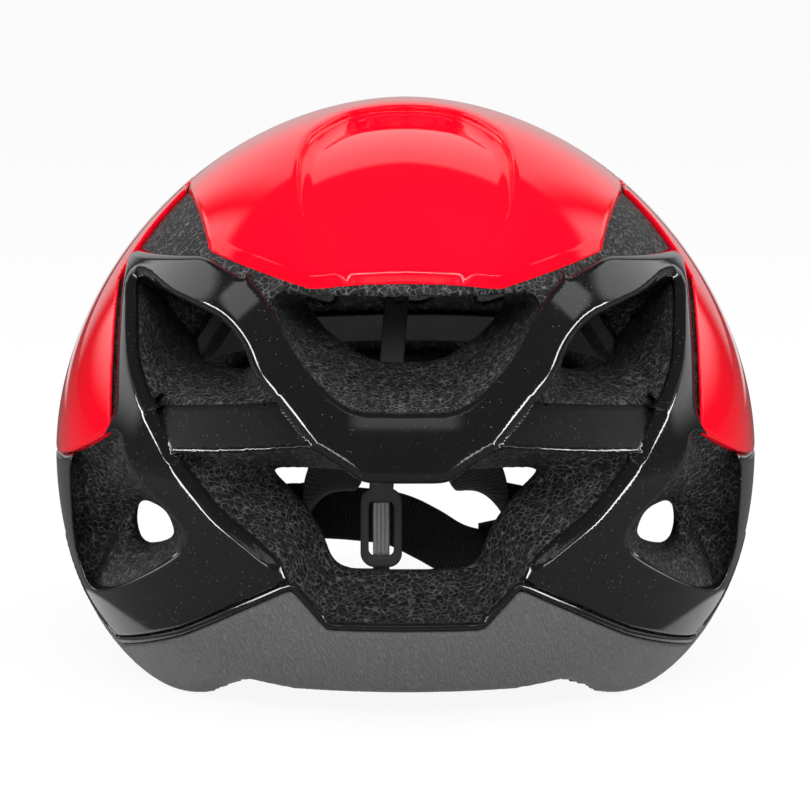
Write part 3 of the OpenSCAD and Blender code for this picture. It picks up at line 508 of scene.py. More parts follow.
ARM_X, ARM_TOP, ARM_W, EYELET_Z, EYELET_R = -1.7, 70.0, 7.0, 55, 1.2
TAB_X, TAB_TOP, TAB_Z, TAB_W, TAB_HALF_H = -7.0, 4.0, -7, 12.0, 11.5
TAB_SLOT_Z, TAB_SLOT_HALF_H, TAB_WALLS = -7.2, 7.9, 4.8
REAR_END_Y = -20  # pieces of the rear stop here


def capsule(u, v, a, b, ra, rb):
    """Distance to a tapered strip with round ends."""
    du, dv = b[0] - a[0], b[1] - a[1]
    t = np.clip(((u - a[0]) * du + (v - a[1]) * dv) / (du * du + dv * dv), 0, 1)
    return np.hypot(u - a[0] - du * t, v - a[1] - dv * t) - (ra + (rb - ra) * t)


def slab(u, v, cu, cv, hu, hv, r):
    """Distance to a rectangle with rounded corners."""
    du, dv = np.abs(u - cu) - hu + r, np.abs(v - cv) - hv + r
    return np.minimum(np.maximum(du, dv), 0) + np.hypot(np.maximum(du, 0), np.maximum(dv, 0)) - r


def rear_arm(x, y, z):
    """The strip with its slotted tab, which hangs from the foam."""
    strip = capsule(x, z, (ARM_X, ARM_TOP - ARM_W / 2), (TAB_X, TAB_TOP), ARM_W / 2, ARM_W / 2)
    tab = slab(x, z, TAB_X, TAB_Z, TAB_W / 2, TAB_HALF_H, 4.0)
    slot = slab(x, z, TAB_X, TAB_SLOT_Z, (TAB_W - TAB_WALLS) / 2, TAB_SLOT_HALF_H, 1.6)
    eyelet = np.hypot(x - ARM_X, z - EYELET_Z) - EYELET_R
    edge = largest(np.minimum(strip, tab), -slot, -eyelet, y - REAR_END_Y)
    return lining(x, y, z, LINING_GAP, STRIP_T, edge)


HEADBAND_Z, HEADBAND_HALF_H, HEADBAND_END_Y = 27, 5, 20


def headband(x, y, z):
    edge = np.maximum(np.abs(z - HEADBAND_Z) - HEADBAND_HALF_H, HEADBAND_END_Y - y)
    return lining(x, y, z, LINING_GAP, STRIP_T, edge, 0.8)


TEMPLE = (32.0, 8.0)
YOKE_TOP = smooth([(32, 14), (10, 6), (-30, -9), (-60, -18), (-100, -22.5)], 6)
YOKE_FOOT = smooth([(-100, -29), (-60, -26), (-30, -18), (10, -5), (32, 2)], 6)
YOKE = Outline(rounded([tuple(q) for q in [*YOKE_TOP, *YOKE_FOOT]], 0.6, 2))


EYE_R, EYE_BORE_R, YOKE_END_X, PLATE_R, PLATE_BORE_R = 6.1, 2.9, 24.1, 6.5, 2.65
PADDLE = (44.2, -39.1)


def yoke_arm(x, y, z):
    eye = np.hypot(y - TEMPLE[0], z - TEMPLE[1])
    edge = largest(np.minimum(YOKE(y, z), eye - EYE_R), EYE_BORE_R - eye, YOKE_END_X - x)
    return lining(x, y, z, YOKE_GAP, STRIP_T, edge, 0.7)


def paddle(x, y, z):
    edge = slab(x, z, *PADDLE, 8, 8.9, 3.5)
    return lining(x, y, z, YOKE_GAP, STRIP_T, np.maximum(edge, y - REAR_END_Y), 0.7)


def temple_plates(x, y, z):
    eye = np.hypot(y - TEMPLE[0], z - TEMPLE[1])
    return lining(x, y, z, LINING_GAP, STRIP_T, np.maximum(eye - PLATE_R, PLATE_BORE_R - eye), 0.5)


def pad_form(x, y, z, depth, thick, edge, crown_r):
    """A crowned pad on the lining: its back lies flat and its face falls away to the edge."""
    e = np.clip(-edge / crown_r, 0, 1)
    swell = thick * (0.35 + 0.65 * np.sqrt(np.maximum(1 - (1 - e) ** 2, 0)))
    return round_max(round_max(head(x, y, z, depth), edge, 0.8), -head(x, y, z, depth + swell), 0.9)


GROOVE_DEPTH, GROOVE_W = 1.2, 1.4


def grooved_pad(x, y, z, edge, across, crown_r):
    """A pad with a groove where across is zero."""
    groove = GROOVE_DEPTH * np.exp(-((across / GROOVE_W) ** 2))
    return pad_form(x, y, z, PAD_DEPTH, PAD_T - groove, edge, crown_r)


def brow_pad(x, y, z):
    edge = np.maximum(slab(x, z, 0, 6, 54, 12, 6), 40 - y)
    return grooved_pad(x, y, z, edge, np.abs(x) - 18, 7)


def crown_pad(x, y, z):
    edge = np.maximum(slab(x, y, 0, 0, 16, 50, 8), 30 - z)
    return grooved_pad(x, y, z, edge, np.abs(y) - 17, 7)


def side_pad(x, y, z):
    edge = np.maximum(slab(y, z, -14, 44, 34, 11, 6), 20 - x)
    return grooved_pad(x, y, z, edge, y + 14, 6)


def nape_pad(x, y, z):
    edge = np.maximum(slab(x, z, *PADDLE, 7.4, 8.3, 4), y - REAR_END_Y)
    return pad_form(x, y, z, YOKE_GAP + STRIP_T + 0.2, 4.0, edge, 5)


# From field to mesh


def contour(field, lo, hi, step):
    """Quads over the field's surface, with their points moved on to it, and its normals there."""
    axes = [np.arange(lo[i] - 1.37 * step, hi[i] + 2 * step, step) for i in range(3)]
    x, y, z = axes[0][:, None, None], axes[1][None, :, None], axes[2][None, None, :]
    v = np.broadcast_to(field(x, y, z), [len(a) for a in axes]).astype(np.float32)
    inside = v < 0
    n = [s - 1 for s in v.shape]
    corners = [(i, j, k) for i in (0, 1) for j in (0, 1) for k in (0, 1)]
    count = np.zeros(n, np.uint8)
    for i, j, k in corners:
        count += inside[i : i + n[0], j : j + n[1], k : k + n[2]]
    cells = np.argwhere((count > 0) & (count < 8))
    index = np.full(n, -1, np.int32)
    index[tuple(cells.T)] = np.arange(len(cells))
    at = {c: v[cells[:, 0] + c[0], cells[:, 1] + c[1], cells[:, 2] + c[2]].astype(float) for c in corners}
    total, hits = np.zeros((len(cells), 3)), np.zeros(len(cells))
    for a in corners:
        for axis in range(3):
            if a[axis] == 0:
                b = tuple(1 if q == axis else a[q] for q in range(3))
                cross = (at[a] < 0) != (at[b] < 0)
                gap = np.where(cross, at[a] - at[b], 1.0)
                place = np.repeat(np.array([a], float), len(cells), 0)
                place[:, axis] = at[a] / gap
                total += np.where(cross[:, None], place, 0)
                hits += cross
    points = np.array([a[0] for a in axes]) + (cells + total / hits[:, None]) * step
    quads = []
    for axis in range(3):
        u, w = [(1, 2), (2, 0), (0, 1)][axis]
        lower = [slice(None)] * 3
        upper = [slice(None)] * 3
        lower[axis], upper[axis] = slice(0, -1), slice(1, None)
        for q in (u, w):
            lower[q] = upper[q] = slice(1, -1)
        first, second = inside[tuple(lower)], inside[tuple(upper)]
        for flip in (False, True):
            e = np.argwhere(first & ~second if not flip else ~first & second)
            if not len(e):
                continue
            e[:, u] += 1
            e[:, w] += 1
            ring = []
            for du, dw in ((-1, -1), (0, -1), (0, 0), (-1, 0)):
                c = e.copy()
                c[:, u] += du
                c[:, w] += dw
                ring.append(index[tuple(c.T)])
            q = np.stack(ring if not flip else ring[::-1], 1)
            quads.append(q)
    quads = np.concatenate(quads)
    quads = quads[(quads >= 0).all(1)]
    points = relax(points, quads, 2)
    for _ in range(5):
        value, grad = slope(field, points, 0.05)
        move = -value[:, None] * grad / np.maximum((grad**2).sum(1, keepdims=True), 0.05)
        size = np.linalg.norm(move, axis=1, keepdims=True)
        points = points + move * np.minimum(1, 0.6 * step / np.maximum(size, 1e-9))
    normal = slope(field, points, 0.12)[1]
    return points, quads, normal / np.maximum(np.linalg.norm(normal, axis=1, keepdims=True), 1e-9)


def slope(field, p, e):
    """The field's value at each point, and its gradient from e to either side."""
    grad = []
    for axis in range(3):
        ahead, behind = list(p.T), list(p.T)
        ahead[axis], behind[axis] = p[:, axis] + e, p[:, axis] - e
        grad.append((field(*ahead) - field(*behind)) / (2 * e))
    return field(*p.T), np.stack(grad, 1)


def relax(points, quads, rounds):
    """Moves each point towards the middle of its neighbours."""
    for _ in range(rounds):
        total, count = np.zeros_like(points), np.zeros(len(points))
        for i in range(4):
            a, b = quads[:, i], quads[:, (i + 1) % 4]
            np.add.at(total, a, points[b])
            np.add.at(total, b, points[a])
            np.add.at(count, a, 1)
            np.add.at(count, b, 1)
        points = points * 0.4 + 0.6 * total / np.maximum(count, 1)[:, None]
    return points


def add_mesh(name, points, faces, normals=None):
    mesh = bpy.data.meshes.new(name)
    mesh.from_pydata((points * MM).tolist(), [], faces)
    mesh.polygons.foreach_set("use_smooth", np.ones(len(mesh.polygons), bool))
    if normals is not None:
        mesh.normals_split_custom_set_from_vertices(normals.tolist())
    mesh.update()
    obj = bpy.data.objects.new(name, mesh)
    bpy.context.scene.collection.objects.link(obj)
    return obj


def form(name, field, node, body_name, slot, material, step, grow=1.0):
    """A piece made from a field, in the place of one CAD node."""
    lo, hi = (np.array(c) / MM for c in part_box(node))
    points, quads, normals = contour(field, lo - grow, hi + grow, step)
    obj = add_mesh(name, points, quads.tolist(), normals)
    obj.data.materials.append(material)
    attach(obj, body_name)
    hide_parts(node)
    return obj


# Materials


def combine(tree, how, a, b=0.0):
    """One operation on two values, each a number or a socket."""
    node = tree.nodes.new("ShaderNodeMath")
    node.operation = how
    for i, q in enumerate((a, b)):
        if isinstance(q, (int, float)):
            node.inputs[i].default_value = q
        else:
            tree.links.new(q, node.inputs[i])
    return node.outputs["Value"]


def map_range(tree, value, low, high, a=0.0, b=1.0, how="LINEAR"):
    """Carries a value from low and high to a and b."""
    node = tree.nodes.new("ShaderNodeMapRange")
    node.interpolation_type = how
    for name, q in (("From Min", low), ("From Max", high), ("To Min", a), ("To Max", b)):
        node.inputs[name].default_value = q
    tree.links.new(value, node.inputs["Value"])
    return node.outputs["Result"]


class Shader:
    """A material with its Principled shader, and short ways to add nodes to it."""

    def __init__(self, name, color, rough, spec=0.5):
        self.material = bpy.data.materials.new(name)
        self.material.use_nodes = True
        self.tree = self.material.node_tree
        self.bsdf = self.tree.nodes["Principled BSDF"]
        self.set("Base Color", (*color, 1))
        self.set("Roughness", rough)
        self.set("Specular IOR Level", spec)
        self.material.diffuse_color = (*color, 1)
        self.coord = None

    def set(self, socket, value):
        self.bsdf.inputs[socket].default_value = value

    def add(self, kind, **values):
        node = self.tree.nodes.new(kind)
        for key, value in values.items():
            if hasattr(node, key):
                setattr(node, key, value)
            else:
                node.inputs[key.replace("_", " ")].default_value = value
        return node

    def link(self, out, into):
        self.tree.links.new(out, into)

    def place(self, scale=(1, 1, 1), turn=(0, 0, 0)):
        """Coordinates in the object's frame, in metres, scaled and turned."""
        if self.coord is None:
            self.coord = self.add("ShaderNodeTexCoord")
        node = self.add("ShaderNodeMapping", Scale=scale, Rotation=turn)
        self.link(self.coord.outputs["Object"], node.inputs["Vector"])
        return node.outputs["Vector"]

    def noise(self, scale, detail=3.0, rough=0.5, where=None):
        node = self.add("ShaderNodeTexNoise", Scale=scale, Detail=detail, Roughness=rough)
        self.link(where or self.place(), node.inputs["Vector"])
        return node.outputs["Fac"]

    def ramp(self, value, low, high, a=0.0, b=1.0):
        return map_range(self.tree, value, low, high, a, b)

    def math(self, how, a, b):
        return combine(self.tree, how, a, b)

    def mix(self, value, a, b):
        node = self.add("ShaderNodeMix", data_type="RGBA")
        self.link(value, node.inputs["Factor"])
        for name, q in (("A", a), ("B", b)):
            socket = [s for s in node.inputs if s.name == name and s.type == "RGBA"][0]
            if isinstance(q, tuple):
                socket.default_value = (*q, 1)
            else:
                self.link(q, socket)
        return [s for s in node.outputs if s.type == "RGBA"][0]

    def paint(self, value, a, b):
        """Colours the surface from a to b by value."""
        self.link(self.mix(value, a, b), self.bsdf.inputs["Base Color"])

    def polish(self, value, low, high, smoothest, roughest):
        """Roughness between its two ends as value goes from low to high."""
        self.link(self.ramp(value, low, high, smoothest, roughest), self.bsdf.inputs["Roughness"])

    def bump(self, height, strength, distance, edge=None):
        node = self.add("ShaderNodeBump", Strength=strength, Distance=distance)
        self.link(height, node.inputs["Height"])
        if edge:
            self.link(self.edge(edge), node.inputs["Normal"])
        self.link(node.outputs["Normal"], self.bsdf.inputs["Normal"])

    def edge(self, radius):
        return self.add("ShaderNodeBevel", samples=4, Radius=radius).outputs["Normal"]


def specks(s, size, share):
    """Fine dust: bright where a scattered grain lies."""
    cell = s.add("ShaderNodeTexVoronoi", Scale=1 / size)
    s.link(s.place(), cell.inputs["Vector"])
    near = s.ramp(cell.outputs["Distance"], 0.10, 0.2, 1, 0)
    sparse = s.ramp(cell.outputs["Color"], 1 - share, 1 - share + 0.01)
    return s.math("MULTIPLY", s.math("MULTIPLY", near, sparse), s.ramp(s.noise(60, 2), 0.35, 0.6, 0.25, 1))


def red_gloss():
    s = Shader("red_gloss", (0.82, 0.001, 0.013), 0.06, 0.25)
    s.set("Coat Weight", 0.55)
    s.set("Coat Roughness", 0.03)
    s.set("Coat IOR", 1.4)
    tone = s.noise(9, 2)
    s.paint(s.ramp(tone, 0.3, 0.7), (0.79, 0.001, 0.012), (0.84, 0.001, 0.015))
    s.bump(s.noise(260, 2), 0.02, 0.0002)
    return s.material


def black_gloss():
    s = Shader("black_gloss", (0.005, 0.005, 0.0055), 0.1, 0.5)
    s.set("Coat Weight", 0.6)
    s.set("Coat Roughness", 0.02)
    dust = specks(s, 0.001, 0.34)
    s.paint(dust, (0.005, 0.005, 0.0055), (0.09, 0.09, 0.09))
    s.polish(s.noise(140, 4), 0.3, 0.75, 0.06, 0.12)
    s.bump(s.noise(220, 2), 0.02, 0.0002)
    return s.material


def black_satin():
    """Sunk faces of the cross bars: less polished, with more dust."""
    s = Shader("black_satin", (0.006, 0.006, 0.0065), 0.4, 0.12)
    dust = specks(s, 0.001, 0.38)
    s.paint(dust, (0.006, 0.006, 0.0065), (0.08, 0.08, 0.08))
    s.polish(s.noise(140, 4), 0.3, 0.75, 0.34, 0.48)
    s.bump(s.noise(700, 3), 0.1, 0.0002)
    return s.material


BEADS = 560  # foam beads in a metre


def bead_foam():
    s = Shader("bead_foam", (0.022, 0.022, 0.023), 0.62, 0.35)
    wobble = s.add("ShaderNodeTexNoise", Scale=260, Detail=2)
    s.link(s.place(), wobble.inputs["Vector"])
    shift = s.add("ShaderNodeVectorMath", operation="MULTIPLY_ADD")
    s.link(wobble.outputs["Color"], shift.inputs[0])
    shift.inputs[1].default_value = (0.0009, 0.0009, 0.0009)
    s.link(s.place(), shift.inputs[2])
    edge = s.add("ShaderNodeTexVoronoi", feature="DISTANCE_TO_EDGE", Scale=BEADS)
    cell = s.add("ShaderNodeTexVoronoi", Scale=BEADS)
    for node in (edge, cell):
        s.link(shift.outputs["Vector"], node.inputs["Vector"])
    border = s.ramp(edge.outputs["Distance"], 0.015, 0.11, 1, 0)
    broken = s.math("MULTIPLY", border, s.ramp(s.noise(520, 3), 0.38, 0.64, 0.08, 1))
    bead = s.mix(s.ramp(cell.outputs["Color"], 0, 1), (0.009, 0.009, 0.0095), (0.026, 0.026, 0.027))
    s.paint(broken, bead, (0.14, 0.14, 0.142))
    s.polish(cell.outputs["Color"], 0, 1, 0.42, 0.75)
    dome = s.ramp(edge.outputs["Distance"], 0, 0.25)
    s.bump(s.math("ADD", dome, s.math("MULTIPLY", s.noise(900, 2), 0.25)), 0.55, 0.0006)
    return s.material


def satin_band():
    s = Shader("satin_band", (0.075, 0.075, 0.076), 0.45, 0.4)
    swirl = s.add("ShaderNodeTexWave", Scale=330, Distortion=14.0, Detail=3.0, Detail_Scale=1.2)
    s.link(s.place((1, 0.5, 0.6), (0, 0.6, 0)), swirl.inputs["Vector"])
    grain = s.math("MULTIPLY", swirl.outputs["Fac"], s.ramp(s.noise(900, 3), 0.3, 0.7, 0.2, 1))
    s.paint(grain, (0.085, 0.085, 0.086), (0.13, 0.13, 0.131))
    s.polish(s.noise(60, 3), 0.3, 0.7, 0.38, 0.52)
    s.bump(grain, 0.12, 0.0002)
    return s.material


def moulded(name, color, rough, edge=0.0004):
    s = Shader(name, color, rough, 0.4)
    light = tuple(min(1, q * 1.35 + 0.004) for q in color)
    s.paint(s.ramp(s.noise(35, 4), 0.35, 0.7), color, light)
    s.polish(s.noise(180, 3), 0.3, 0.7, rough - 0.06, rough + 0.08)
    s.bump(s.noise(1500, 2), 0.12, 0.00015, edge)
    return s.material


def steel():
    s = Shader("plain_steel", (0.55, 0.55, 0.56), 0.3)
    s.set("Metallic", 1.0)
    s.polish(s.noise(40, 3, where=s.place((1, 14, 1))), 0.3, 0.7, 0.22, 0.42)
    s.bump(s.noise(400, 2, where=s.place((1, 8, 1))), 0.05, 0.0001, 0.0002)
    return s.material


def rubber():
    s = Shader("soft_rubber", (0.018, 0.018, 0.018), 0.75, 0.3)
    s.paint(s.ramp(s.noise(60, 4), 0.35, 0.7), (0.014, 0.014, 0.014), (0.032, 0.032, 0.032))
    s.bump(s.noise(1200, 3), 0.2, 0.0002, 0.0003)
    return s.material


def knit():
    s = Shader("brushed_knit", (0.02, 0.02, 0.021), 0.9, 0.2)
    s.set("Sheen Weight", 0.35)
    s.set("Sheen Roughness", 0.5)
    loop = s.add("ShaderNodeTexVoronoi", Scale=1150)
    s.link(s.place((1, 0.7, 1.3)), loop.inputs["Vector"])
    fuzz = s.noise(700, 4, 0.7)
    s.paint(s.ramp(fuzz, 0.35, 0.75), (0.012, 0.012, 0.013), (0.042, 0.042, 0.044))
    s.bump(s.math("ADD", loop.outputs["Distance"], fuzz), 0.45, 0.0004)
    return s.material


def woven():
    """Webbing: ribs across its width, from the distance along it that each point carries."""
    s = Shader("woven_webbing", (0.012, 0.012, 0.0125), 0.7, 0.3)
    s.set("Sheen Weight", 0.15)
    at = s.add("ShaderNodeUVMap", uv_map="along")
    split = s.add("ShaderNodeSeparateXYZ")
    s.link(at.outputs["UV"], split.inputs["Vector"])
    rib = s.math("SINE", s.math("MULTIPLY", split.outputs["X"], 2 * math.pi / 0.0011), 0)
    weft = s.math("SINE", s.math("MULTIPLY", split.outputs["Y"], 2 * math.pi / 0.0008), 0)
    height = s.math("ADD", s.math("MULTIPLY", rib, 0.7), s.math("MULTIPLY", weft, 0.3))
    # Painted shade and highlight: the base colour is darker in the rib hollows and lighter on the rib
    # crests.
    tone = s.ramp(height, -1, 1)
    s.paint(tone, (0.006, 0.006, 0.0065), (0.03, 0.03, 0.031))
    s.bump(s.math("ADD", height, s.noise(900, 2)), 0.5, 0.0003)
    return s.material


RED, BLACK, SATIN, FOAM, BAND = red_gloss(), black_gloss(), black_satin(), bead_foam(), satin_band()
NYLON = moulded("moulded_nylon", (0.036, 0.036, 0.037), 0.45)
ACETAL = moulded("natural_acetal", (0.5, 0.5, 0.47), 0.4)
GREY = moulded("grey_acetal", (0.1, 0.1, 0.105), 0.4)
# Painted highlight: the dark cradle base gets this pale grey so that its ribs look lit.
PAINTED_HIGHLIGHT_GREY = moulded("painted_highlight_acetal", (0.24, 0.24, 0.245), 0.4)
DARK = moulded("strap_acetal", (0.018, 0.018, 0.0185), 0.4)
STEEL, RUBBER, KNIT, WEB = steel(), rubber(), knit(), woven()

# Camera at the photograph's angle: from behind and a little above
IMAGE = 811
TARGET, DISTANCE, PIXEL = Vector((0, 0, 0.0144)), 1.4, 0.0003095
cam_data = bpy.data.cameras.new("camera")
cam = bpy.data.objects.new("camera", cam_data)
bpy.context.scene.collection.objects.link(cam)
back = Vector((0, -math.cos(ELEVATION), math.sin(ELEVATION)))
cam.location = TARGET + back * DISTANCE
cam.rotation_euler = (-back).to_track_quat("-Z", "Y").to_euler()
cam_data.sensor_width = 36
cam_data.lens = 36 * DISTANCE / (IMAGE * PIXEL)
cam_data.clip_end = 20
bpy.context.scene.camera = cam

# Straps: flat webbing along the routes of the solids
FRONT_TURN, REAR_TURN, BUCKLE_TURN = math.radians(26.4), math.radians(-75), math.radians(51.5)
SEAT, ANCHOR_T, POCKET = 0.8, 3.4, 3.0


def anchor_start(wall, turn):
    return np.array(wall) + np.array([-math.cos(turn), -math.sin(turn), 0]) * (SEAT + ANCHOR_T / 2)


UP = np.array([0, 0, 1.0])
front_start = anchor_start((65.4, 62, -6), FRONT_TURN)
rear_start = anchor_start((20, -95.5, 13), REAR_TURN)
front_flat = np.array([-math.sin(FRONT_TURN), math.cos(FRONT_TURN), 0])
rear_flat = np.array([-math.sin(REAR_TURN), math.cos(REAR_TURN), 0])
buckle_dir = np.array([math.cos(BUCKLE_TURN), math.sin(BUCKLE_TURN), 0])
buckle_out = np.array([-math.sin(BUCKLE_TURN), math.cos(BUCKLE_TURN), 0])
buckle_at = np.array([25, -53.5, -23.0])
socket_end = buckle_at + buckle_out * 2.15
clip_end = buckle_at + buckle_dir * 26 - buckle_out * 2.15
FRONT_ROUTE = [
    front_start + UP * POCKET, front_start - UP * 4, (63, 59, -24), (60, 53, -35), (55.5, 45, -42),
    (51.5, 38, -39), (48.5, 33, -31), (47.2, 29, -26.4), (47, 26, -26), (47, 20, -26),
]
REAR_ROUTE = [
    rear_start + UP * POCKET, rear_start, rear_start - UP * 3, (23, -88, 2), (29, -78, -4), (37, -64, -9),
    (43.5, -50, -12.5), (48.5, -36, -17), (49.5, -22, -22), (49, -8, -26), (48.9, 1, -26), (48.9, 4, -26),
]
CHIN_LEFT = [
    (-45, 4, -26), (-45, 1, -26), (-45, -6, -26), (-44.8, -16, -24.5), (-43.5, -28, -20), (-40, -44, -13),
    (-34, -57, -9), (-25, -66, -8), (-14, -70.5, -8), (-3, -71, -9.5), (6, -69, -14), (14, -63.5, -19.5),
    socket_end - buckle_dir * 4, socket_end, socket_end + buckle_dir * POCKET,
]
CHIN_RIGHT = [
    clip_end - buckle_dir * POCKET, clip_end, clip_end + buckle_dir * 4, (46, -26, -24), (46, -16, -25),
    (45.2, -6, -26), (45, 1, -26), (45, 4, -26),
]
# Half of the webbing's section, across and through it
HALF_SECTION = [(-8, 0), (-7.7, 0.62), (-7, 0.8), (0, 0.86), (7, 0.8), (7.7, 0.62)]
SECTION = HALF_SECTION + [(-u, -v) for u, v in HALF_SECTION]
TWIST_FROM, TWIST_PART = 0.12, 0.4  # where the width starts to turn, and over how much of the route


def webbing(name, route, wide_from, wide_to, node, flip=False, pulled_by=None):
    """A strap swept along its route, its width turning over the route's first half."""
    p = smooth(route, 14)
    last = len(p) - 1
    direction = np.array([p[min(i + 1, last)] - p[max(i - 1, 0)] for i in range(last + 1)])
    direction /= np.linalg.norm(direction, axis=1, keepdims=True)
    turned = np.clip((np.arange(last + 1) / last - TWIST_FROM) / TWIST_PART, 0, 1)[:, None]
    wide = wide_from + (wide_to - wide_from) * turned
    wide = wide - (wide * direction).sum(1, keepdims=True) * direction
    wide /= np.linalg.norm(wide, axis=1, keepdims=True)
    thick = np.cross(direction, wide)
    sign = np.array([-1, 1, 1]) if flip else np.ones(3)
    rings = np.array([(p + wide * u + thick * v) * sign for u, v in SECTION]).transpose(1, 0, 2)
    n = len(SECTION)
    points = rings.reshape(-1, 3)
    faces = []
    for here in range(0, last * n, n):
        for k in range(n):
            following = (k + 1) % n
            faces.append((here + k, here + following, here + n + following, here + n + k))
    caps = [tuple(range(n)), tuple(range((last + 1) * n - 1, last * n - 1, -1))]
    order = faces + caps
    if not flip:
        order = [tuple(reversed(f)) for f in order]
    obj = add_mesh(name, points, order)
    mesh = obj.data
    mesh.polygons.foreach_set("use_smooth", [len(f) == 4 for f in order])
    along = np.concatenate([[0], np.cumsum(np.linalg.norm(np.diff(p, axis=0), axis=1))]) * MM
    uv = mesh.uv_layers.new(name="along")
    for loop in mesh.loops:
        r, k = divmod(loop.vertex_index, n)
        uv.data[loop.index].uv = (along[r], SECTION[k][0] * MM)
    mesh.update()
    mesh.materials.append(WEB)
    if pulled_by:
        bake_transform(obj)
    else:
        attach(obj, "helmet")
    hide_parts(node)
    return obj


for end, route, flat in (("front", FRONT_ROUTE, front_flat), ("rear", REAR_ROUTE, -rear_flat)):
    for side in ("right", "left"):
        webbing(f"{end}_webbing_{side}", route, flat, UP, f"{end}_strap_{side}", flip=side == "left")
webbing("chin_webbing_left", CHIN_LEFT, UP, UP, "chin_strap_left")
webbing("chin_webbing_right", CHIN_RIGHT, UP, UP, "chin_strap_right", pulled_by="clip")


def satin_bars(obj):
    """Gives the sunk faces of the cross bars, which look upward, their own material."""
    obj.data.materials.append(SATIN)
    faces = obj.data.polygons
    centre, facing = np.zeros(3 * len(faces)), np.zeros(3 * len(faces))
    faces.foreach_get("center", centre)
    faces.foreach_get("normal", facing)
    x, _, z = (centre / MM).reshape(-1, 3).T
    above_edge = z > bar_edges(x)[1] + 1.6
    on_bar = (BAR_ZONE(np.abs(x), z) < 0.5) & above_edge & (facing.reshape(-1, 3)[:, 2] > 0.2)
    faces.foreach_set("material_index", on_bar.astype(np.int32))


SIDES = (("left", -1), ("right", 1))


def pair(name, field, node, body_name, *looks):
    """A piece on each side, from a field drawn on the right; {} in a name stands for the side."""
    pieces = []
    for side, sign in SIDES:
        names = [q.format(side) for q in (name, node, body_name)]
        pieces.append(form(names[0], on_side(field, sign), *names[1:], *looks))
    return pieces


# Pieces
form("foam_liner", liner, "eps_liner", "helmet", "eps_foam", FOAM, 1.5)
form("crown_skin", crown, "crown_shell", "helmet", "red_shell", RED, 0.85)
pair("side_skin_{}", side_shell, "side_shell_{}", "helmet", "red_shell", RED, 1.0, 2.5)
satin_bars(form("rear_skin", rear_frame, "rear_frame", "helmet", "black_shell", BLACK, 0.85, 6.5))
form("rim_skin", rim_band, "rim_band", "helmet", "band", BAND, 1.3, 3.0)
form("seam_bead", seam_trim, "seam_trim", "helmet", "black_shell", BLACK, 0.8, 2.0)
form("arm_strip", rear_arm, "rear_arm", "helmet", "fit_plastic", NYLON, 0.6)
form("brow_band", headband, "headband", "helmet", "fit_plastic", NYLON, 1.0)
form("temple_seats", temple_plates, "temple_plates", "helmet", "fit_plastic", NYLON, 0.7)
pair("yoke_strip_{}", yoke_arm, "yoke_arm_{}", "cradle", "fit_plastic", NYLON, 0.9)
pair("paddle_form_{}", paddle, "paddle_{}", "{}_rack", "fit_plastic", NYLON, 0.7)
PADDED = ("pad_fabric", KNIT, 0.9)
pads = [
    form("brow_cushion", brow_pad, "brow_pad", "helmet", *PADDED),
    form("crown_cushion", crown_pad, "crown_pad", "helmet", *PADDED),
    *pair("side_cushion_{}", side_pad, "side_pad_{}", "helmet", *PADDED),
    *pair("nape_cushion_{}", nape_pad, "nape_pad_{}", "{}_rack", *PADDED),
]

# Pieces that show as they are in the solids
FINISH = (
    (GREY, ("arm_rivet", "temple_pins")),
    (KNIT, ("pad_dots",)),
    # Painted highlight: the cradle base, a dark part, is coloured pale grey.
    (PAINTED_HIGHLIGHT_GREY, ("cradle_base",)),
    (NYLON, ("cradle_cover", "adjuster_dial", "lever_left", "lever_right")),
    (STEEL, ("cover_screws", "dial_shaft", "lever_pins")),
    (RUBBER, ("dial_grip",)),
    (ACETAL, ("rack_left", "rack_right")),
    (DARK, ("front_anchors", "rear_anchors", "divider_left", "divider_right")),
    (DARK, ("buckle_socket", "buckle_clip")),
)
for material, nodes in FINISH:
    for node in nodes:
        NODES[node].data.materials.clear()
        NODES[node].data.materials.append(material)

# Floor, world and lamps
FLOOR_Z, FLOOR_HALF = -0.0578, 6.0
floor_mesh = bpy.data.meshes.new("floor")
corners = [(u * FLOOR_HALF, v * FLOOR_HALF, FLOOR_Z) for u, v in ((-1, -1), (1, -1), (1, 1), (-1, 1))]
floor_mesh.from_pydata(corners, [], [(0, 1, 2, 3)])
floor = bpy.data.objects.new("floor", floor_mesh)
bpy.context.scene.collection.objects.link(floor)


def seen_directly(tree):
    """1 on rays from the camera, and on reflected and transmitted ones."""
    path = tree.nodes.new("ShaderNodeLightPath")
    total = path.outputs["Is Camera Ray"]
    for name in ("Is Glossy Ray", "Is Transmission Ray"):
        total = combine(tree, "MAXIMUM", total, path.outputs[name])
    return total, path.outputs["Is Camera Ray"]


def coordinates(tree, kind, output):
    """X, Y and Z of a position or direction, X as its distance from the middle plane."""
    split = tree.nodes.new("ShaderNodeSeparateXYZ")
    tree.links.new(tree.nodes.new(kind).outputs[output], split.inputs["Vector"])
    return combine(tree, "ABSOLUTE", split.outputs["X"]), split.outputs["Y"], split.outputs["Z"]


def product(tree, *steps):
    """1 where every step between its two bounds is passed."""
    total = 1.0
    for value, low, high in steps:
        total = combine(tree, "MULTIPLY", map_range(tree, value, low, high, how="SMOOTHSTEP"), total)
    return total


ground = Shader("pale_floor", (0.86, 0.86, 0.86), 0.9, 0.1)
tree = ground.tree
glow = tree.nodes.new("ShaderNodeEmission")
blend = tree.nodes.new("ShaderNodeMixShader")
seen, by_camera = seen_directly(tree)
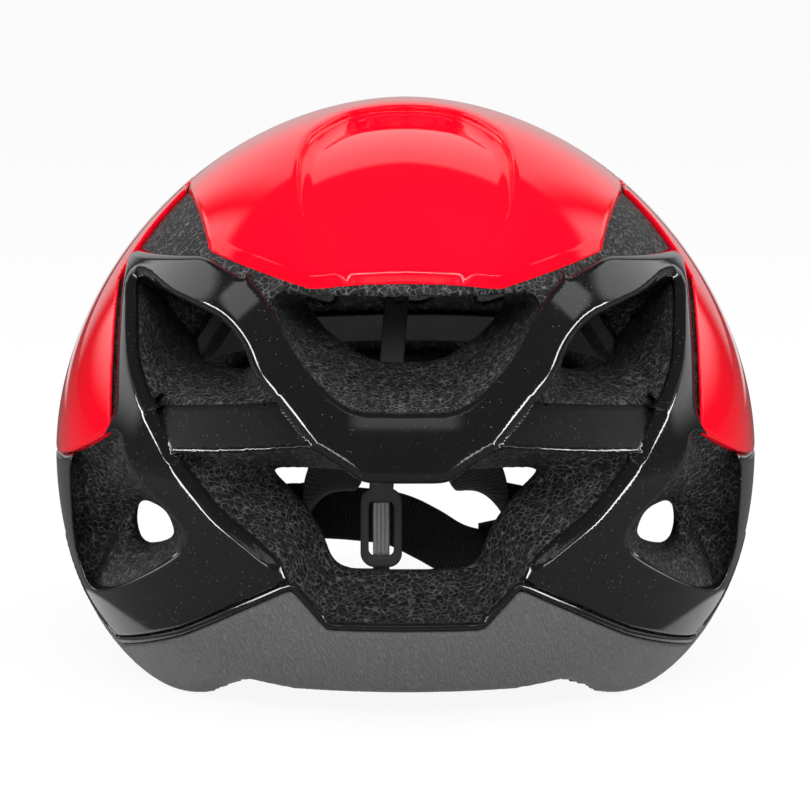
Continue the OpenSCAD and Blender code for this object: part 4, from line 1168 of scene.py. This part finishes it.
# In reflections the floor is pale on a disc under the object and beyond it, and dim elsewhere
DISC, DISC_GLOW, FLOOR_DIM, FAR_GLOW, GLOW_SHARE = 0.126, 0.55, 0.03, 0.75, 0.92
wide, back_y, _ = coordinates(tree, "ShaderNodeNewGeometry", "Position")
squares = [combine(tree, "MULTIPLY", q, q) for q in (wide, back_y)]
radius = combine(tree, "POWER", combine(tree, "ADD", *squares), 0.5)
disc = map_range(tree, radius, DISC + 0.002, DISC - 0.002, FLOOR_DIM, DISC_GLOW, "SMOOTHSTEP")
beyond = combine(tree, "MULTIPLY", product(tree, (back_y, 0.75, 0.95), (wide, 0.5, 0.35)), FAR_GLOW)
pale = combine(tree, "MAXIMUM", disc, beyond)
tree.links.new(combine(tree, "MAXIMUM", pale, by_camera), glow.inputs["Strength"])
tree.links.new(combine(tree, "MULTIPLY", seen, GLOW_SHARE), blend.inputs["Fac"])
tree.links.new(ground.bsdf.outputs["BSDF"], blend.inputs[1])
tree.links.new(glow.outputs["Emission"], blend.inputs[2])
tree.links.new(blend.outputs["Shader"], tree.nodes["Material Output"].inputs["Surface"])
floor_mesh.materials.append(ground.material)

world = bpy.data.worlds.new("studio")
bpy.context.scene.world = world
world.use_nodes = True
tree = world.node_tree
plain = tree.nodes["Background"]
plain.inputs["Color"].default_value = (1, 1, 1, 1)
plain.inputs["Strength"].default_value = 0.5
white = tree.nodes.new("ShaderNodeBackground")
white.inputs["Color"].default_value = (1, 1, 1, 1)
# In reflections: a soft box beyond the object, two at each side, one behind the camera, and a dim room
ROOM, BEYOND, BESIDE, UPPER, BEHIND = 0.03, 0.45, 0.9, 1.0, 0.7
wide, away, height = coordinates(tree, "ShaderNodeTexCoord", "Generated")
beyond = product(tree, (away, 0.45, 0.6), (height, -0.1, 0.0), (height, 0.66, 0.62), (wide, 0.45, 0.3))
sides = product(tree, (wide, 0.44, 0.54), (height, 0.05, 0.2), (height, 0.67, 0.61), (away, 0.2, 0.32))
upper = product(
    tree, (wide, 0.6, 0.66), (height, 0.63, 0.66), (height, 0.77, 0.74),
    (away, -0.06, -0.02), (away, 0.22, 0.18),
)
behind = product(tree, (away, -0.6, -0.75), (height, 0.3, 0.35), (height, 0.75, 0.6), (wide, 0.36, 0.26))
boxes = ROOM
for box, strength in ((beyond, BEYOND), (sides, BESIDE), (upper, UPPER), (behind, BEHIND)):
    boxes = combine(tree, "ADD", combine(tree, "MULTIPLY", box, strength), boxes)
seen, by_camera = seen_directly(tree)
level = combine(tree, "MAXIMUM", boxes, by_camera)
tree.links.new(level, white.inputs["Strength"])
both = tree.nodes.new("ShaderNodeMixShader")
tree.links.new(seen, both.inputs["Fac"])
tree.links.new(plain.outputs["Background"], both.inputs[1])
tree.links.new(white.outputs["Background"], both.inputs[2])
tree.links.new(both.outputs["Shader"], tree.nodes["World Output"].inputs["Surface"])


def lamp(name, at, aim, size, power, shown=True, only=None):
    """An area lamp; shown says whether gloss reflects it, and only is the collection that it lights."""
    data = bpy.data.lights.new(name, "AREA")
    data.shape = "RECTANGLE"
    data.size, data.size_y = size
    data.energy = power
    obj = bpy.data.objects.new(name, data)
    obj.location = at
    obj.rotation_euler = (Vector(aim) - Vector(at)).to_track_quat("-Z", "Y").to_euler()
    obj.visible_camera = False
    obj.visible_glossy = shown
    bpy.context.scene.collection.objects.link(obj)
    if only:
        obj.light_linking.receiver_collection = only


lamp("top_box", (0, 0.1, 1.3), (0, -0.02, 0.05), (1.4, 1.0), 14, shown=False)
lamp("key_box", (0, -1.3, 0.9), (0, 0, 0.02), (1.8, 0.8), 15, shown=False)
# Strips that draw the bright lines along the edges of the black mouldings
black_pieces = bpy.data.collections.new("black_pieces")
for name in ("rear_skin", "seam_bead"):
    black_pieces.objects.link(bpy.data.objects[name])
red_crown = bpy.data.collections.new("red_crown")
red_crown.objects.link(bpy.data.objects["crown_skin"])
lamp("crease_strip", (0, -0.78, 1.0), (0, -0.11, 0.07), (2.0, 0.1), 5, only=red_crown)
STRIPS = (
    ("side_strip", (1, -0.62, 0.14), (0, -0.12, 0.03), (0.6, 0.3), 8),
    ("high_strip", (1, -0.12, 0.36), (0, -0.1, 0.05), (0.45, 0.2), 3.4),
    ("low_strip", (0.8, -1.05, 0.05), (0, -0.1, 0.0), (0.8, 0.18), 2),
)
for side, sign in SIDES:
    lamp(f"side_fill_{side}", (sign * 1.2, -0.2, 0.35), (0, 0, 0.03), (0.6, 0.6), 5, shown=False)
    for name, (out, along, up), aim, size, power in STRIPS:
        lamp(f"{name}_{side}", (sign * out, along, up), aim, size, power, only=black_pieces)

bpy.context.scene.view_settings.view_transform = "Standard"
